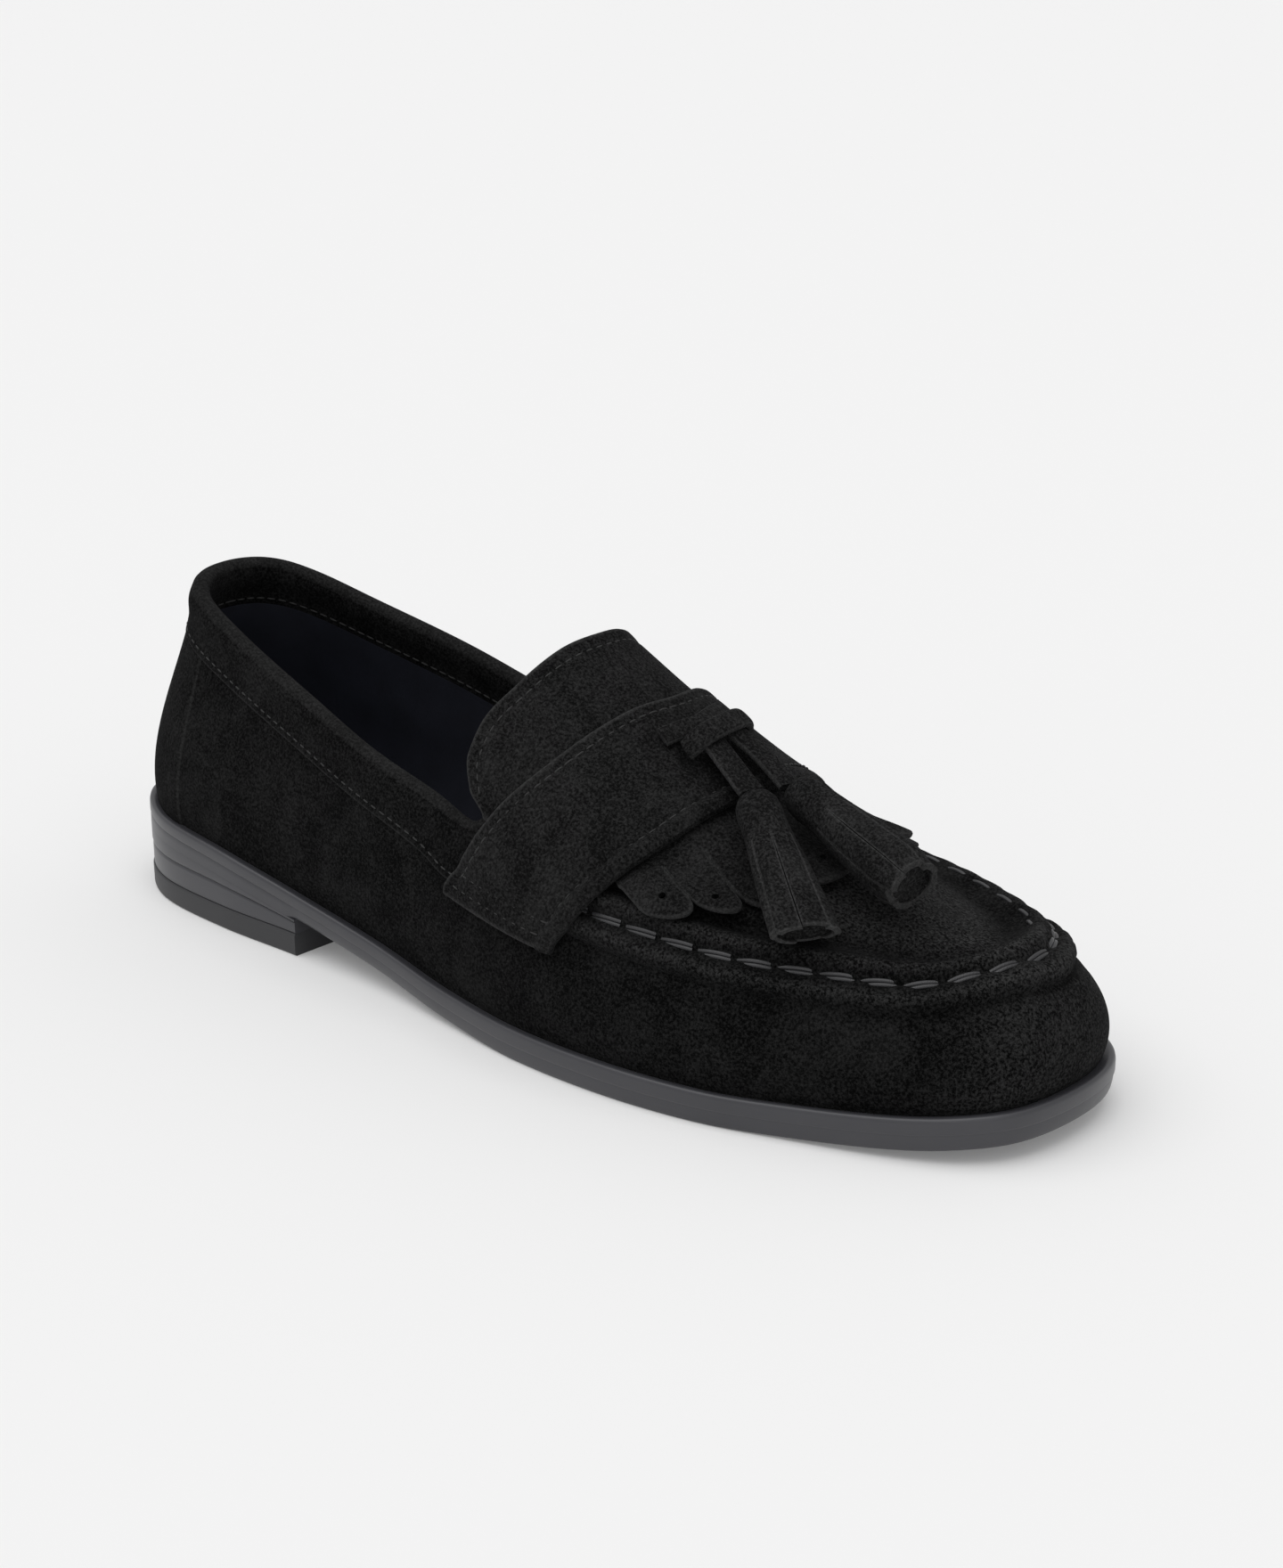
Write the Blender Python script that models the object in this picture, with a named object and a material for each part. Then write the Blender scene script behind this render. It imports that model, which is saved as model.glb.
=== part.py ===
"""A tassel loafer for the right foot, standing on its sole.

The toe points along +X, the outer (lateral) side of the foot is -Y and up is +Z. All sizes are metres.
The last is one function: a table gives a row for each section round the foot, from the back seam to the
toe, and in each section a smooth curve rises from the sole to the collar or to the ridge of the instep.
Upper, tongue, strap and fringe are walls between two offsets of that surface.
"""
import math

import bmesh
import bpy
import numpy as np
from mathutils import Vector

MM = 0.001

# Driving sizes of the last and the sole
LENGTH = 250.0 * MM
BALL_WIDTH = 83.0 * MM
SOLE_REACH = 2.6 * MM
SOLE_THICKNESS = 6.6 * MM
HEEL_HEIGHT = 15.5 * MM
TOE_SPRING = 4.2 * MM
COLLAR_HEIGHT = 73.5 * MM
INSTEP_HEIGHT = 80.0 * MM
TOP_LIFT_HEIGHT = 5.2 * MM
UPPER_WALL = 2.2 * MM
INSOLE_THICKNESS = 3.0 * MM
INSOLE_INSET = 1.4 * MM
INSOLE_ROUNDING = 1.0 * MM
GAP = 0.3 * MM

# Relief of the upper: collar band, back strap and the two rolls of the apron seam
BAND_WIDTH = 10.5 * MM
BAND_STEP = 0.9 * MM
BACK_STRAP_STEP = 0.7 * MM
BACK_STRAP_REACH = 25.5 * MM
BACK_STRAP_EDGE_WIDTH = 0.08
ROLL_HEIGHT = 2.4 * MM
ROLL_WIDTH = 9.0 * MM

# Saddle strap, tongue, fringe, lace and tassels
STRAP_THICKNESS = 2.2 * MM
TONGUE_THICKNESS = 1.8 * MM
TONGUE_HEIGHT = 0.5 * MM
FRINGE_THICKNESS = 1.5 * MM
FRINGE_SLIT = 0.5 * MM
FRINGE_STRIP_WIDTH = 8.0 * MM
FRINGE_CURL = 0.5 * MM
FRINGE_ROOT_HEIGHT = 0.6 * MM
LACE_WIDTH = 5.2 * MM
LACE_THICKNESS = 1.6 * MM
TASSEL_LENGTH = 37.0 * MM
TASSEL_HEAD_RADIUS = 4.6 * MM
TASSEL_WALL = 1.5 * MM
TASSEL_HOLLOW = 9.0 * MM
TASSEL_STAGGER = 0.8 * MM
TASSEL_STRIPS = 9
TASSEL_STRIP_GROOVE = 0.8 * MM

# How finely the surfaces are cut: sections for each side of the foot, points along each section's curve,
# rows of faces below and above the seam, and steps along and across the smaller pieces
SECTIONS_A_SIDE = 31
CURVE_STEPS = 40
LOWER_ROWS = 4
PLUG_ROWS = 3
HEEL_SECTIONS = 13
STRAP_STEPS = (34, 5)
TONGUE_STEPS = (24, 5)
STRIP_STEPS = (4, 7)
LACE_STEPS = 8

# One row for each section, from the back seam round to the toe.
# along, lateral, medial: the feather line, as shares of the length and of the ball width.
# turn: the way the section faces, in degrees from the toe. lift: the sole's underside, a share of the
# heel height behind the ball and of the toe spring ahead of it. thick: share of the sole thickness.
SECTION_COLUMNS = ("along", "lateral", "medial", "turn", "lift", "thick")
SECTIONS = (
    (0.000, 0.000, 0.000, 180, 1.00, 0.85),
    (0.018, 0.165, 0.160, 146, 1.00, 0.85),
    (0.075, 0.287, 0.287, 112, 0.93, 0.85),
    (0.170, 0.339, 0.336, 95, 0.81, 0.85),
    (0.270, 0.356, 0.337, 90, 0.56, 0.85),
    (0.380, 0.386, 0.322, 90, 0.30, 0.86),
    (0.480, 0.444, 0.340, 90, 0.09, 0.92),
    (0.580, 0.499, 0.400, 89, 0.00, 1.00),
    (0.670, 0.515, 0.464, 88, 0.00, 1.00),
    (0.760, 0.492, 0.487, 86, 0.00, 1.00),
    (0.840, 0.430, 0.455, 76, 0.14, 1.00),
    (0.915, 0.362, 0.374, 60, 0.46, 1.00),
    (0.963, 0.290, 0.274, 41, 0.79, 1.00),
    (0.991, 0.180, 0.160, 20, 0.94, 1.00),
    (1.000, 0.000, 0.000, 0, 1.00, 1.00),
)
TOE = len(SECTIONS) - 1
BALL = 8

# The collar's top edge beside the first seven sections: shares of length, ball width and collar height.
COLLAR_COLUMNS = ("along", "lateral", "medial", "height")
COLLAR = (
    (0.060, 0.000, 0.000, 1.000),
    (0.069, 0.125, 0.125, 0.988),
    (0.098, 0.200, 0.210, 0.948),
    (0.165, 0.252, 0.268, 0.873),
    (0.266, 0.314, 0.318, 0.778),
    (0.376, 0.370, 0.338, 0.674),
    (0.498, 0.394, 0.347, 0.586),
)
COLLAR_END = len(COLLAR) - 1
# The quarters swell between feather and collar: how far, as a share of the ball width, and how far from
# each end, as a share of the climb
QUARTER_SWELL = ((0.035, 0.30), (0.030, 0.32))

# The closed last under the instep, one row for each section from the fifth to the toe.
# along, height: the ridge. bulge, rise: how far the side swells and how high it stays upright.
# crown: how flat the top is. seam: where the apron seam or the band's lower edge runs, from the feather.
RIDGE_START = 4
RIDGE_COLUMNS = ("along", "height", "bulge", "rise", "crown", "seam")
RIDGE = (
    (0.290, 1.200, 0.030, 0.35, 0.60, 0.350),
    (0.390, 1.130, 0.035, 0.37, 0.60, 0.300),
    (0.490, 1.000, 0.045, 0.41, 0.60, 0.270),
    (0.585, 0.820, 0.055, 0.44, 0.60, 0.335),
    (0.670, 0.670, 0.055, 0.44, 0.62, 0.350),
    (0.745, 0.575, 0.055, 0.44, 0.65, 0.366),
    (0.805, 0.515, 0.055, 0.44, 0.68, 0.398),
    (0.864, 0.467, 0.055, 0.44, 0.70, 0.440),
    (0.895, 0.450, 0.055, 0.44, 0.70, 0.510),
    (0.917, 0.447, 0.055, 0.44, 0.70, 0.590),
    (0.923, 0.447, 0.055, 0.44, 0.70, 0.600),
)

# Sections between which the upper's edge leaves the collar and climbs under the strap to the ridge
THROAT_START = 6.05
THROAT_END = 7.45
THROAT_LOW = 0.40

# The apron seam in profile, from its outer crease to the plug: shares of the roll's width and height.
# On the collar the same rows make the band's plain step.
ROLL_COLUMNS = ("across", "roll", "band")
ROLL = (
    (-0.06, 0.00, 0.00),
    (0.03, 0.62, 1.00),
    (0.16, 1.00, 1.00),
    (0.36, 0.92, 1.00),
    (0.50, 0.70, 1.00),
    (0.64, 0.92, 1.00),
    (0.84, 0.72, 1.00),
    (1.00, 0.12, 1.00),
)
# Sections between which the band dies away and the rolls rise, both hidden by the strap
BAND_FADE = (6.05, 6.35)
ROLL_FADE = (6.6, 7.7)

# The outsole's edge in profile, from its top to its underside: how far in from its outermost line and how
# far over its top, in millimetres, and how far down, as a share of its thickness.
# It has a thin rib at its top, a groove, and a rounded lower edge.
OUTSOLE_COLUMNS = ("inset", "rise", "down")
OUTSOLE_EDGE = (
    (2.4, 0.0, 0.00),
    (0.9, 0.5, 0.00),
    (0.3, 0.2, 0.00),
    (0.0, 0.0, 0.12),
    (0.0, 0.0, 0.30),
    (0.5, 0.0, 0.36),
    (0.1, 0.0, 0.42),
    (0.1, 0.0, 0.72),
    (0.7, 0.0, 0.90),
    (2.0, 0.0, 1.00),
)
# The heel block's edge from its top to the line of the wedge, and from there to the top lift. The shares
# are of the block's height.
HEEL_SETBACK = 0.1 * MM
HEEL_COLUMNS = ("inset", "from_top", "from_line", "from_low")
HEEL_EDGE = (
    (2.0, 0.00, None, None),
    (0.7, 0.00, None, None),
    (0.5, -0.05, None, None),
    (0.3, None, 0.06, None),
    (0.8, None, 0.00, None),
    (0.4, None, -0.06, None),
    (0.7, None, None, 0.04),
    (1.1, None, None, 0.00),
)
# The top lift's edge: how far in, in millimetres, and how high, as a share of its thickness
LIFT_COLUMNS = ("inset", "height")
LIFT_EDGE = (
    (1.6, 1.00),
    (0.4, 1.00),
    (0.1, 0.92),
    (0.2, 0.14),
    (0.7, 0.00),
)

# The heel ends at this section, ahead of the back seam, and the line of its wedge runs down its side at
# these shares of its height
HEEL_BREAST = 4.03
WEDGE_LINE_COLUMNS = ("section", "share")
WEDGE_LINE = (
    (0.0, 0.60),
    (4.2, 0.20),
)

# The saddle strap's edges, as sections, at shares of the way up from the feather to the ridge
STRAP_COLUMNS = ("up", "back", "front")
STRAP_EDGES = (
    (0.240, 6.03, 7.36),
    (0.340, 6.27, 7.55),
    (0.450, 6.45, 7.75),
    (0.600, 6.70, 8.01),
    (0.750, 6.90, 8.17),
    (0.880, 7.02, 8.27),
    (1.000, 7.10, 8.33),
)
# How high its underside runs over the last, in millimetres, at the same shares of the way up
STRAP_HEIGHT_COLUMNS = ("up", "height")
STRAP_HEIGHT = (
    (0.24, 0.4),
    (0.26, 1.3),
    (0.31, 1.4),
    (0.34, 2.8),
    (0.44, 3.3),
    (0.54, 3.3),
    (0.64, 2.7),
    (1.00, 2.6),
)

# The tongue's back edge, as sections, at shares of the way up; its front edge lies under the strap
TONGUE_COLUMNS = ("up", "back", "front")
TONGUE_EDGES = (
    (0.455, 6.32, 6.75),
    (0.490, 6.10, 6.90),
    (0.560, 5.96, 7.05),
    (0.620, 5.97, 7.15),
    (0.750, 6.12, 7.30),
    (0.880, 6.23, 7.40),
    (1.000, 6.30, 7.45),
)

# The fringe: each strip's two edges at the strap and at its tip, as (section, share of the way up)
FRINGE_COLUMNS = ("root_section", "root_up", "tip_section", "tip_up")
FRINGE_EDGES = (
    (7.60, 0.505, 8.32, 0.420),
    (7.72, 0.620, 8.78, 0.492),
    (7.76, 0.760, 9.20, 0.560),
    (7.78, 0.880, 9.62, 0.700),
    (7.78, 1.000, 9.90, 1.000),
)
# Along a strip: where it leaves the strap, where its slits open, where its tip curls and how round it is
FRINGE_OUT = (0.18, 0.48)
FRINGE_SLIT_OPENS = (0.40, 0.46)
FRINGE_CURLS = (0.60, 1.00)
FRINGE_TIP_ROUND = 0.22
# How high its underside runs over the last, in millimetres
FRINGE_HEIGHT_COLUMNS = ("up", "height")
FRINGE_HEIGHT = (
    (0.40, 2.9),
    (0.52, 2.9),
    (0.60, 0.8),
    (1.00, 0.5),
)

# Places over the last are (section, across, height): across runs from the lateral feather at -1 over the
# ridge at 0 to the medial feather at 1, and the height over the last is in millimetres.
# The tassels: the middle of the head's top and of the skirt's end.
# pressed: how much of the profile's flatness it takes.
TASSEL_COLUMNS = ("name", "head", "end", "pressed")
TASSELS = (
    ("tassel_lateral", (8.46, -0.150, 7.9), (9.86, -0.475, 8.0), 1.0),
    ("tassel_medial", (8.66, -0.045, 8.2), (10.51, -0.225, 9.4), 0.3),
)
# The lace on the strap: a bridge between its two slots, two necks that run to the tassels and a wrap over
# the necks' start
LACE_COLUMNS = ("section", "across", "height")
LACE_ROUTES = (
    ("lace_bridge", (
        (7.38, -0.150, 5.9),
        (7.42, -0.100, 5.9),
        (7.46, -0.037, 6.0),
        (7.42, 0.030, 5.9),
        (7.38, 0.080, 5.9),
    )),
    ("lace_neck_lateral", (
        (7.60, -0.075, 7.9),
        (7.90, -0.095, 8.0),
        (8.20, -0.122, 8.1),
        (8.42, -0.142, 8.0),
    )),
    ("lace_neck_medial", (
        (7.60, 0.000, 7.9),
        (7.95, 0.000, 8.1),
        (8.30, -0.015, 8.3),
        (8.63, -0.042, 8.3),
    )),
    ("lace_wrap", (
        (7.66, -0.151, 6.3),
        (7.66, -0.137, 8.0),
        (7.66, -0.110, 10.0),
        (7.66, -0.037, 10.4),
        (7.66, 0.035, 10.0),
        (7.66, 0.062, 8.0),
        (7.66, 0.076, 6.3),
    )),
)
# The lace's cross-section, as shares of half its width and half its thickness
LACE_EDGE = (
    (-1.0, -0.4),
    (-0.8, -1.0),
    (0.8, -1.0),
    (1.0, -0.4),
    (1.0, 0.4),
    (0.8, 1.0),
    (-0.8, 1.0),
    (-1.0, 0.4),
)
# A tassel in profile: share of its length from the head, radius, how deep its strips are cut, and how far
# it is pressed flat on the shoe
TASSEL_PROFILE_COLUMNS = ("along", "radius", "groove", "flat")
TASSEL_PROFILE = (
    (0.000, 0.30, 0.0, 1.00),
    (0.025, 0.62, 0.0, 1.00),
    (0.080, 0.93, 0.0, 1.00),
    (0.150, 1.00, 0.0, 1.00),
    (0.230, 0.96, 0.0, 0.98),
    (0.270, 0.94, 0.3, 0.95),
    (0.330, 1.06, 0.8, 0.88),
    (0.500, 1.22, 1.0, 0.76),
    (0.750, 1.42, 1.0, 0.66),
    (1.000, 1.56, 1.0, 0.60),
)
# How deep the points of one strip lie in its groove, from its edge round to the next strip
STRIP_CUT = (0.0, 1.0, 1.0)

SUEDE = ("black_suede", (0.020, 0.019, 0.020), 0.95)
LINING = ("dark_leather_sock", (0.018, 0.020, 0.030), 0.60)
RUBBER = ("grey_rubber", (0.055, 0.055, 0.057), 0.45)
LIFT_RUBBER = ("dark_rubber_lift", (0.040, 0.040, 0.042), 0.60)


def slopes(values):
    """Slope at each row that lets the curve through them rise and fall no further than they do."""
    steps = np.diff(values, axis=0)
    before, after = steps[:-1], steps[1:]
    limit = 3.0 * np.minimum(abs(before), abs(after))
    middle = np.where(before * after > 0.0, (before + after) / 2.0, 0.0)
    return np.vstack([steps[:1], np.clip(middle, -limit, limit), steps[-1:]])


def read(table, columns, row, through=()):
    """Smooth values of a table's columns at fractional rows. The table is mirrored past its ends, and the
    columns named in through run straight on there, so that the foot's outline turns without a corner."""
    on = np.array([column in through for column in columns])
    rows = np.array(table, dtype=float)
    before = np.where(on, 2.0 * rows[0] - rows[1], rows[1])
    after = np.where(on, 2.0 * rows[-1] - rows[-2], rows[-2])
    rows = np.vstack([before, rows, after])
    slope = slopes(rows)
    place = np.clip(np.asarray(row, dtype=float), 0.0, len(table) - 1.0) + 1.0
    start = np.minimum(place.astype(int), len(rows) - 2)
    t = (place - start)[..., None]
    values = ((2 * t**3 - 3 * t**2 + 1) * rows[start] + (t**3 - 2 * t**2 + t) * slope[start]
              + (3 * t**2 - 2 * t**3) * rows[start + 1] + (t**3 - t**2) * slope[start + 1])
    return {column: values[..., i] for i, column in enumerate(columns)}


def lookup(table, columns, key, value, place):
    """Straight interpolation between a table's rows, by the column named key."""
    rows = np.array(table, dtype=float)
    return np.interp(place, rows[:, columns.index(key)], rows[:, columns.index(value)])


def ease(value, start, end):
    """0 before start, 1 after end, and a soft rise between them."""
    t = np.clip((np.asarray(value, dtype=float) - start) / (end - start), 0.0, 1.0)
    return t * t * (3.0 - 2.0 * t)


def vectors(x, y, z):
    """Points from their coordinates."""
    x, y, z = np.broadcast_arrays(x, y, z)
    return np.stack([x, y, z], axis=-1)


def length_place(share):
    """A share of the last's length as an x coordinate."""
    return -LENGTH / 2.0 + SOLE_REACH + share * (LENGTH - 2.0 * SOLE_REACH)


def side_name(side):
    """The table column of a side: -1 is lateral and 1 is medial."""
    return "lateral" if side < 0 else "medial"


def feather(section, side):
    """The feather line: its points on the sole's top, the way outwards, and the sole's underside."""
    row = read(SECTIONS, SECTION_COLUMNS, section, through=("lateral", "medial", "turn"))
    turn = np.radians(row["turn"])
    under = row["lift"] * np.where(np.asarray(section) < BALL, HEEL_HEIGHT, TOE_SPRING)
    top = under + row["thick"] * SOLE_THICKNESS
    point = vectors(length_place(row["along"]), side * row[side_name(side)] * BALL_WIDTH, top)
    return point, vectors(np.cos(turn), side * np.sin(turn), 0.0), under


def bezier(handles, t):
    """Points at t along cubic curves with four handles each."""
    a, b, c, d = (handle[:, None, :] for handle in handles)
    t = t[..., None]
    return (1 - t)**3 * a + 3 * (1 - t)**2 * t * b + 3 * (1 - t) * t**2 * c + t**3 * d


def along_curves(curves, shares):
    """Points at shares of the length of each curve; shares has a row for each curve."""
    step = np.linalg.norm(np.diff(curves, axis=1), axis=2)
    arc = np.concatenate([np.zeros((len(step), 1)), np.cumsum(step, axis=1)], axis=1)
    points = np.empty(shares.shape + (3,))
    for i, (curve, run, share) in enumerate(zip(curves, arc, shares)):
        for axis in range(3):
            points[i, :, axis] = np.interp(share * run[-1], run, curve[:, axis])
    return points, arc[:, -1]


def closed_curves(section, side):
    """Sections of the closed last, from the feather over to the ridge."""
    foot, out, _ = feather(section, side)
    row = read(RIDGE, RIDGE_COLUMNS, np.asarray(section) - RIDGE_START)
    ridge = vectors(length_place(row["along"]), 0.0, row["height"] * INSTEP_HEIGHT)
    half = np.linalg.norm((foot - ridge)[:, :2], axis=1)
    climb = ridge[:, 2] - foot[:, 2]
    up = np.array([0.0, 0.0, 1.0])
    shoulder = foot + out * (row["bulge"] * BALL_WIDTH)[:, None] + up * (row["rise"] * climb)[:, None]
    crown = ridge + out * (row["crown"] * half)[:, None]
    return bezier((foot, shoulder, crown, ridge), np.linspace(0.0, 1.0, CURVE_STEPS + 1)[None, :])


def collar_curves(section, side):
    """Sections of the open quarters, from the feather up to the collar."""
    foot, out, _ = feather(section, side)
    row = read(COLLAR, COLLAR_COLUMNS, np.minimum(section, COLLAR_END), through=("lateral", "medial"))
    top = vectors(length_place(row["along"]), side * row[side_name(side)] * BALL_WIDTH,
                  row["height"] * COLLAR_HEIGHT)
    climb = top[:, 2] - foot[:, 2]
    up = np.array([0.0, 0.0, 1.0])
    (low_swell, low_climb), (high_swell, high_climb) = QUARTER_SWELL
    low = foot + out * low_swell * BALL_WIDTH + up * (low_climb * climb)[:, None]
    high = top + out * high_swell * BALL_WIDTH - up * (high_climb * climb)[:, None]
    return bezier((foot, low, high, top), np.linspace(0.0, 1.0, CURVE_STEPS + 1)[None, :])


def wall_curves(section, side):
    """Sections of the upper: to the collar behind, to the throat's edge, and to the ridge ahead of it."""
    reach = THROAT_LOW + (1.0 - THROAT_LOW) * ease(section, THROAT_START, THROAT_END)
    shares = reach[:, None] * np.linspace(0.0, 1.0, CURVE_STEPS + 1)[None, :]
    ahead, _ = along_curves(closed_curves(section, side), shares)
    blend = ease(section, COLLAR_END - 1.0, COLLAR_END)[:, None, None]
    return collar_curves(section, side) * (1.0 - blend) + ahead * blend


def section_list():
    """The sections cut: evenly spaced, with a close pair at each edge of the back strap."""
    sections = np.linspace(0.0, TOE, SECTIONS_A_SIDE)
    behind = np.linspace(0.0, RIDGE_START, 81)
    spread = abs(feather(behind, -1)[0][:, 1])
    edge = np.interp(BACK_STRAP_REACH, spread, behind)
    half = BACK_STRAP_EDGE_WIDTH / 2.0
    sections = sections[abs(sections - edge) > 3.0 * half]
    return np.sort(np.concatenate([sections, [edge - half, edge + half]])), edge


def wall_rows(section, side):
    """The upper's grid on one side: points, and the relief on them, section by section."""
    profile = np.array(ROLL)
    curves = wall_curves(section, side)
    _, wall = along_curves(curves, np.zeros((len(section), 1)))
    _, whole = along_curves(closed_curves(section, side), np.zeros((len(section), 1)))
    seam = read(RIDGE, RIDGE_COLUMNS, section - RIDGE_START)["seam"] * whole
    ahead = ease(section, COLLAR_END - 1.0, COLLAR_END)
    path = (wall - BAND_WIDTH) * (1.0 - ahead) + seam * ahead
    across = profile[:, ROLL_COLUMNS.index("across")] * ROLL_WIDTH
    rolls = path[:, None] + across[None, :]
    low = rolls[:, :1] * np.linspace(0.0, 1.0, LOWER_ROWS + 1)[None, :-1]
    rest = np.linspace(0.0, 1.0, PLUG_ROWS + 1)[None, 1:]
    high = rolls[:, -1:] + (wall[:, None] - rolls[:, -1:]) * rest
    shares = np.concatenate([low, rolls, high], axis=1) / wall[:, None]
    points, _ = along_curves(curves, np.clip(shares, 0.0, 1.0))
    rise = ease(section, *ROLL_FADE)[:, None]
    fall = 1.0 - ease(section, *BAND_FADE)[:, None]
    roll = profile[None, :, ROLL_COLUMNS.index("roll")] * ROLL_HEIGHT
    band = profile[None, :, ROLL_COLUMNS.index("band")] * BAND_STEP
    relief = np.zeros(shares.shape)
    relief[:, LOWER_ROWS:LOWER_ROWS + len(ROLL)] = band * fall + roll * rise
    relief[:, LOWER_ROWS + len(ROLL):] = BAND_STEP * fall
    return points, relief


def weld(points, faces, *layers):
    """Points at one place become one, with their values, and faces lose doubled corners."""
    keys = {}
    where = np.empty(len(points), dtype=int)
    keep = []
    for i, key in enumerate(map(tuple, np.round(points, 7))):
        if key not in keys:
            keys[key] = len(keep)
            keep.append(i)
        where[i] = keys[key]
    welded = []
    for face in faces:
        corners = []
        for corner in (where[i] for i in face):
            if corner not in corners:
                corners.append(corner)
        if len(corners) > 2:
            welded.append(tuple(corners))
    return (points[keep], welded) + tuple(layer[keep] for layer in layers)


def normals_of(points, faces):
    """Area-weighted normals at the points of a surface."""
    normals = np.zeros_like(points)
    for face in faces:
        first = points[face[0]]
        turn = sum(np.cross(points[b] - first, points[c] - first) for b, c in zip(face[1:-1], face[2:]))
        for corner in face:
            normals[corner] += turn
    return normals / np.linalg.norm(normals, axis=1)[:, None]


def grid_faces(rows, columns, offset=0, wrap=False):
    """Faces of a grid of points, whose rows run one way and columns the other."""
    faces = []
    for i in range(rows if wrap else rows - 1):
        for j in range(columns - 1):
            a = offset + i * columns + j
            b = offset + (i + 1) % rows * columns + j
            faces.append((a, b, b + 1, a + 1))
    return faces


def add_solid(name, points, faces, material):
    """A closed solid, with its faces turned outwards."""
    mesh = bpy.data.meshes.new(name)
    mesh.from_pydata([tuple(point) for point in points], [], faces)
    shape = bmesh.new()
    shape.from_mesh(mesh)
    bmesh.ops.remove_doubles(shape, verts=shape.verts, dist=1e-6)
    bmesh.ops.recalc_face_normals(shape, faces=shape.faces)
    shape.to_mesh(mesh)
    shape.free()
    mesh.shade_smooth()
    mesh.set_sharp_from_angle(angle=math.radians(35.0))
    return add_object(name, mesh, material)


def centre_shift():
    """How far the shoe moves to the side, so that the middle of its width is over the origin."""
    widest = np.array(SECTIONS).max(axis=0)
    lateral, medial = (widest[SECTION_COLUMNS.index(side_name(side))] for side in (-1, 1))
    return (lateral - medial) / 2.0 * BALL_WIDTH


def add_object(name, mesh, material):
    """An object of the shoe with its own material."""
    mesh.materials.clear()
    mesh.materials.append(make_material(name, material))
    piece = bpy.data.objects.new(name, mesh)
    piece.location.y = centre_shift()
    shoe_collection().objects.link(piece)
    return piece


def make_material(name, look):
    """A Principled material of a colour and roughness, one for each piece."""
    kind, colour, roughness = look
    material = bpy.data.materials.new(name + "_" + kind)
    material.use_nodes = True
    shader = material.node_tree.nodes["Principled BSDF"]
    shader.inputs["Base Color"].default_value = (*colour, 1.0)
    shader.inputs["Roughness"].default_value = roughness
    shader.inputs["Metallic"].default_value = 0.0
    return material


def shoe_collection():
    """The collection that holds the shoe's pieces."""
    name = "tassel_loafer"
    if name not in bpy.data.collections:
        bpy.context.scene.collection.children.link(bpy.data.collections.new(name))
    return bpy.data.collections[name]


def shell(name, points, faces, low, high, material):
    """A wall between two offsets, low and high, of one open surface, closed along its edges."""
    points, faces, low, high = weld(points, faces, low, high)
    normals = normals_of(points, faces)
    count = len(points)
    both = np.concatenate([points + normals * high[:, None], points + normals * low[:, None]])
    edges = {}
    for face in faces:
        for edge in zip(face, face[1:] + face[:1]):
            edges[edge] = True
    rim = [(b, a, a + count, b + count) for a, b in edges if (b, a) not in edges]
    inner = [tuple(corner + count for corner in reversed(face)) for face in faces]
    return add_solid(name, both, faces + inner + rim, material)


def add_upper():
    """Vamp, quarters and apron as one wall: the collar band, back strap and seam rolls stand on it."""
    sections, strap_edge = section_list()
    grids = []
    for side in (-1, 1):
        points, relief = wall_rows(sections, side)
        back = np.where(sections < strap_edge, BACK_STRAP_STEP, 0.0)[:, None]
        below = np.arange(relief.shape[1])[None, :] <= LOWER_ROWS
        relief = np.where(below, np.maximum(relief, back), relief)
        grids.append((points, relief))
    (left, left_relief), (right, right_relief) = grids
    points = np.concatenate([left, right[-2:0:-1]])
    relief = np.concatenate([left_relief, right_relief[-2:0:-1]])
    rows, columns = relief.shape
    faces = grid_faces(rows, columns, wrap=True)
    low = np.full(rows * columns, -UPPER_WALL)
    return shell("upper", points.reshape(-1, 3), faces, low, relief.reshape(-1), SUEDE)


def edge_loop(section, side_reach, height):
    """Points round a level of the sole: from the feather out by side_reach, at a height for each section."""
    lateral, lateral_out, _ = feather(section, -1)
    medial, medial_out, _ = feather(section, 1)
    lateral = lateral + lateral_out * side_reach
    medial = medial + medial_out * side_reach
    lateral[:, 2] = height
    medial[:, 2] = height
    return lateral, medial


def slab(name, section, levels, material):
    """A slab across the foot: levels are (reach, heights) from the top's inside edge down to the underside.
    Each section crosses from the lateral to the medial edge, so top and underside curve only one way."""
    loops = []
    for reach, height in levels:
        lateral, medial = edge_loop(section, reach, height)
        loops.append(np.stack([lateral, medial]))
    points, faces = [], []
    count = len(section)
    for loop in loops:
        points.extend(loop.reshape(-1, 3))
    for level in range(len(loops) - 1):
        a, b = level * 2 * count, (level + 1) * 2 * count
        for i in range(count - 1):
            faces.append((a + i, a + i + 1, b + i + 1, b + i))
            faces.append((a + count + i + 1, a + count + i, b + count + i, b + count + i + 1))
        for i in (0, count - 1):
            faces.append((a + i, a + count + i, b + count + i, b + i))
    last = (len(loops) - 1) * 2 * count
    for i in range(count - 1):
        faces.append((i + 1, i, count + i, count + i + 1))
        faces.append((last + i, last + i + 1, last + count + i + 1, last + count + i))
    return add_solid(name, np.array(points), faces, material)


def add_outsole():
    """The outsole: a band with a thin rib at its top, a groove, and a rounded lower edge."""
    section = np.linspace(0.0, TOE, SECTIONS_A_SIDE)
    foot, _, under = feather(section, -1)
    top = foot[:, 2] - GAP
    thick = top - under
    levels = [(-UPPER_WALL, top)]
    levels += [(SOLE_REACH - inset * MM, top + rise * MM - down * thick) for inset, rise, down in OUTSOLE_EDGE]
    return slab("outsole", section, levels, RUBBER)


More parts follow.
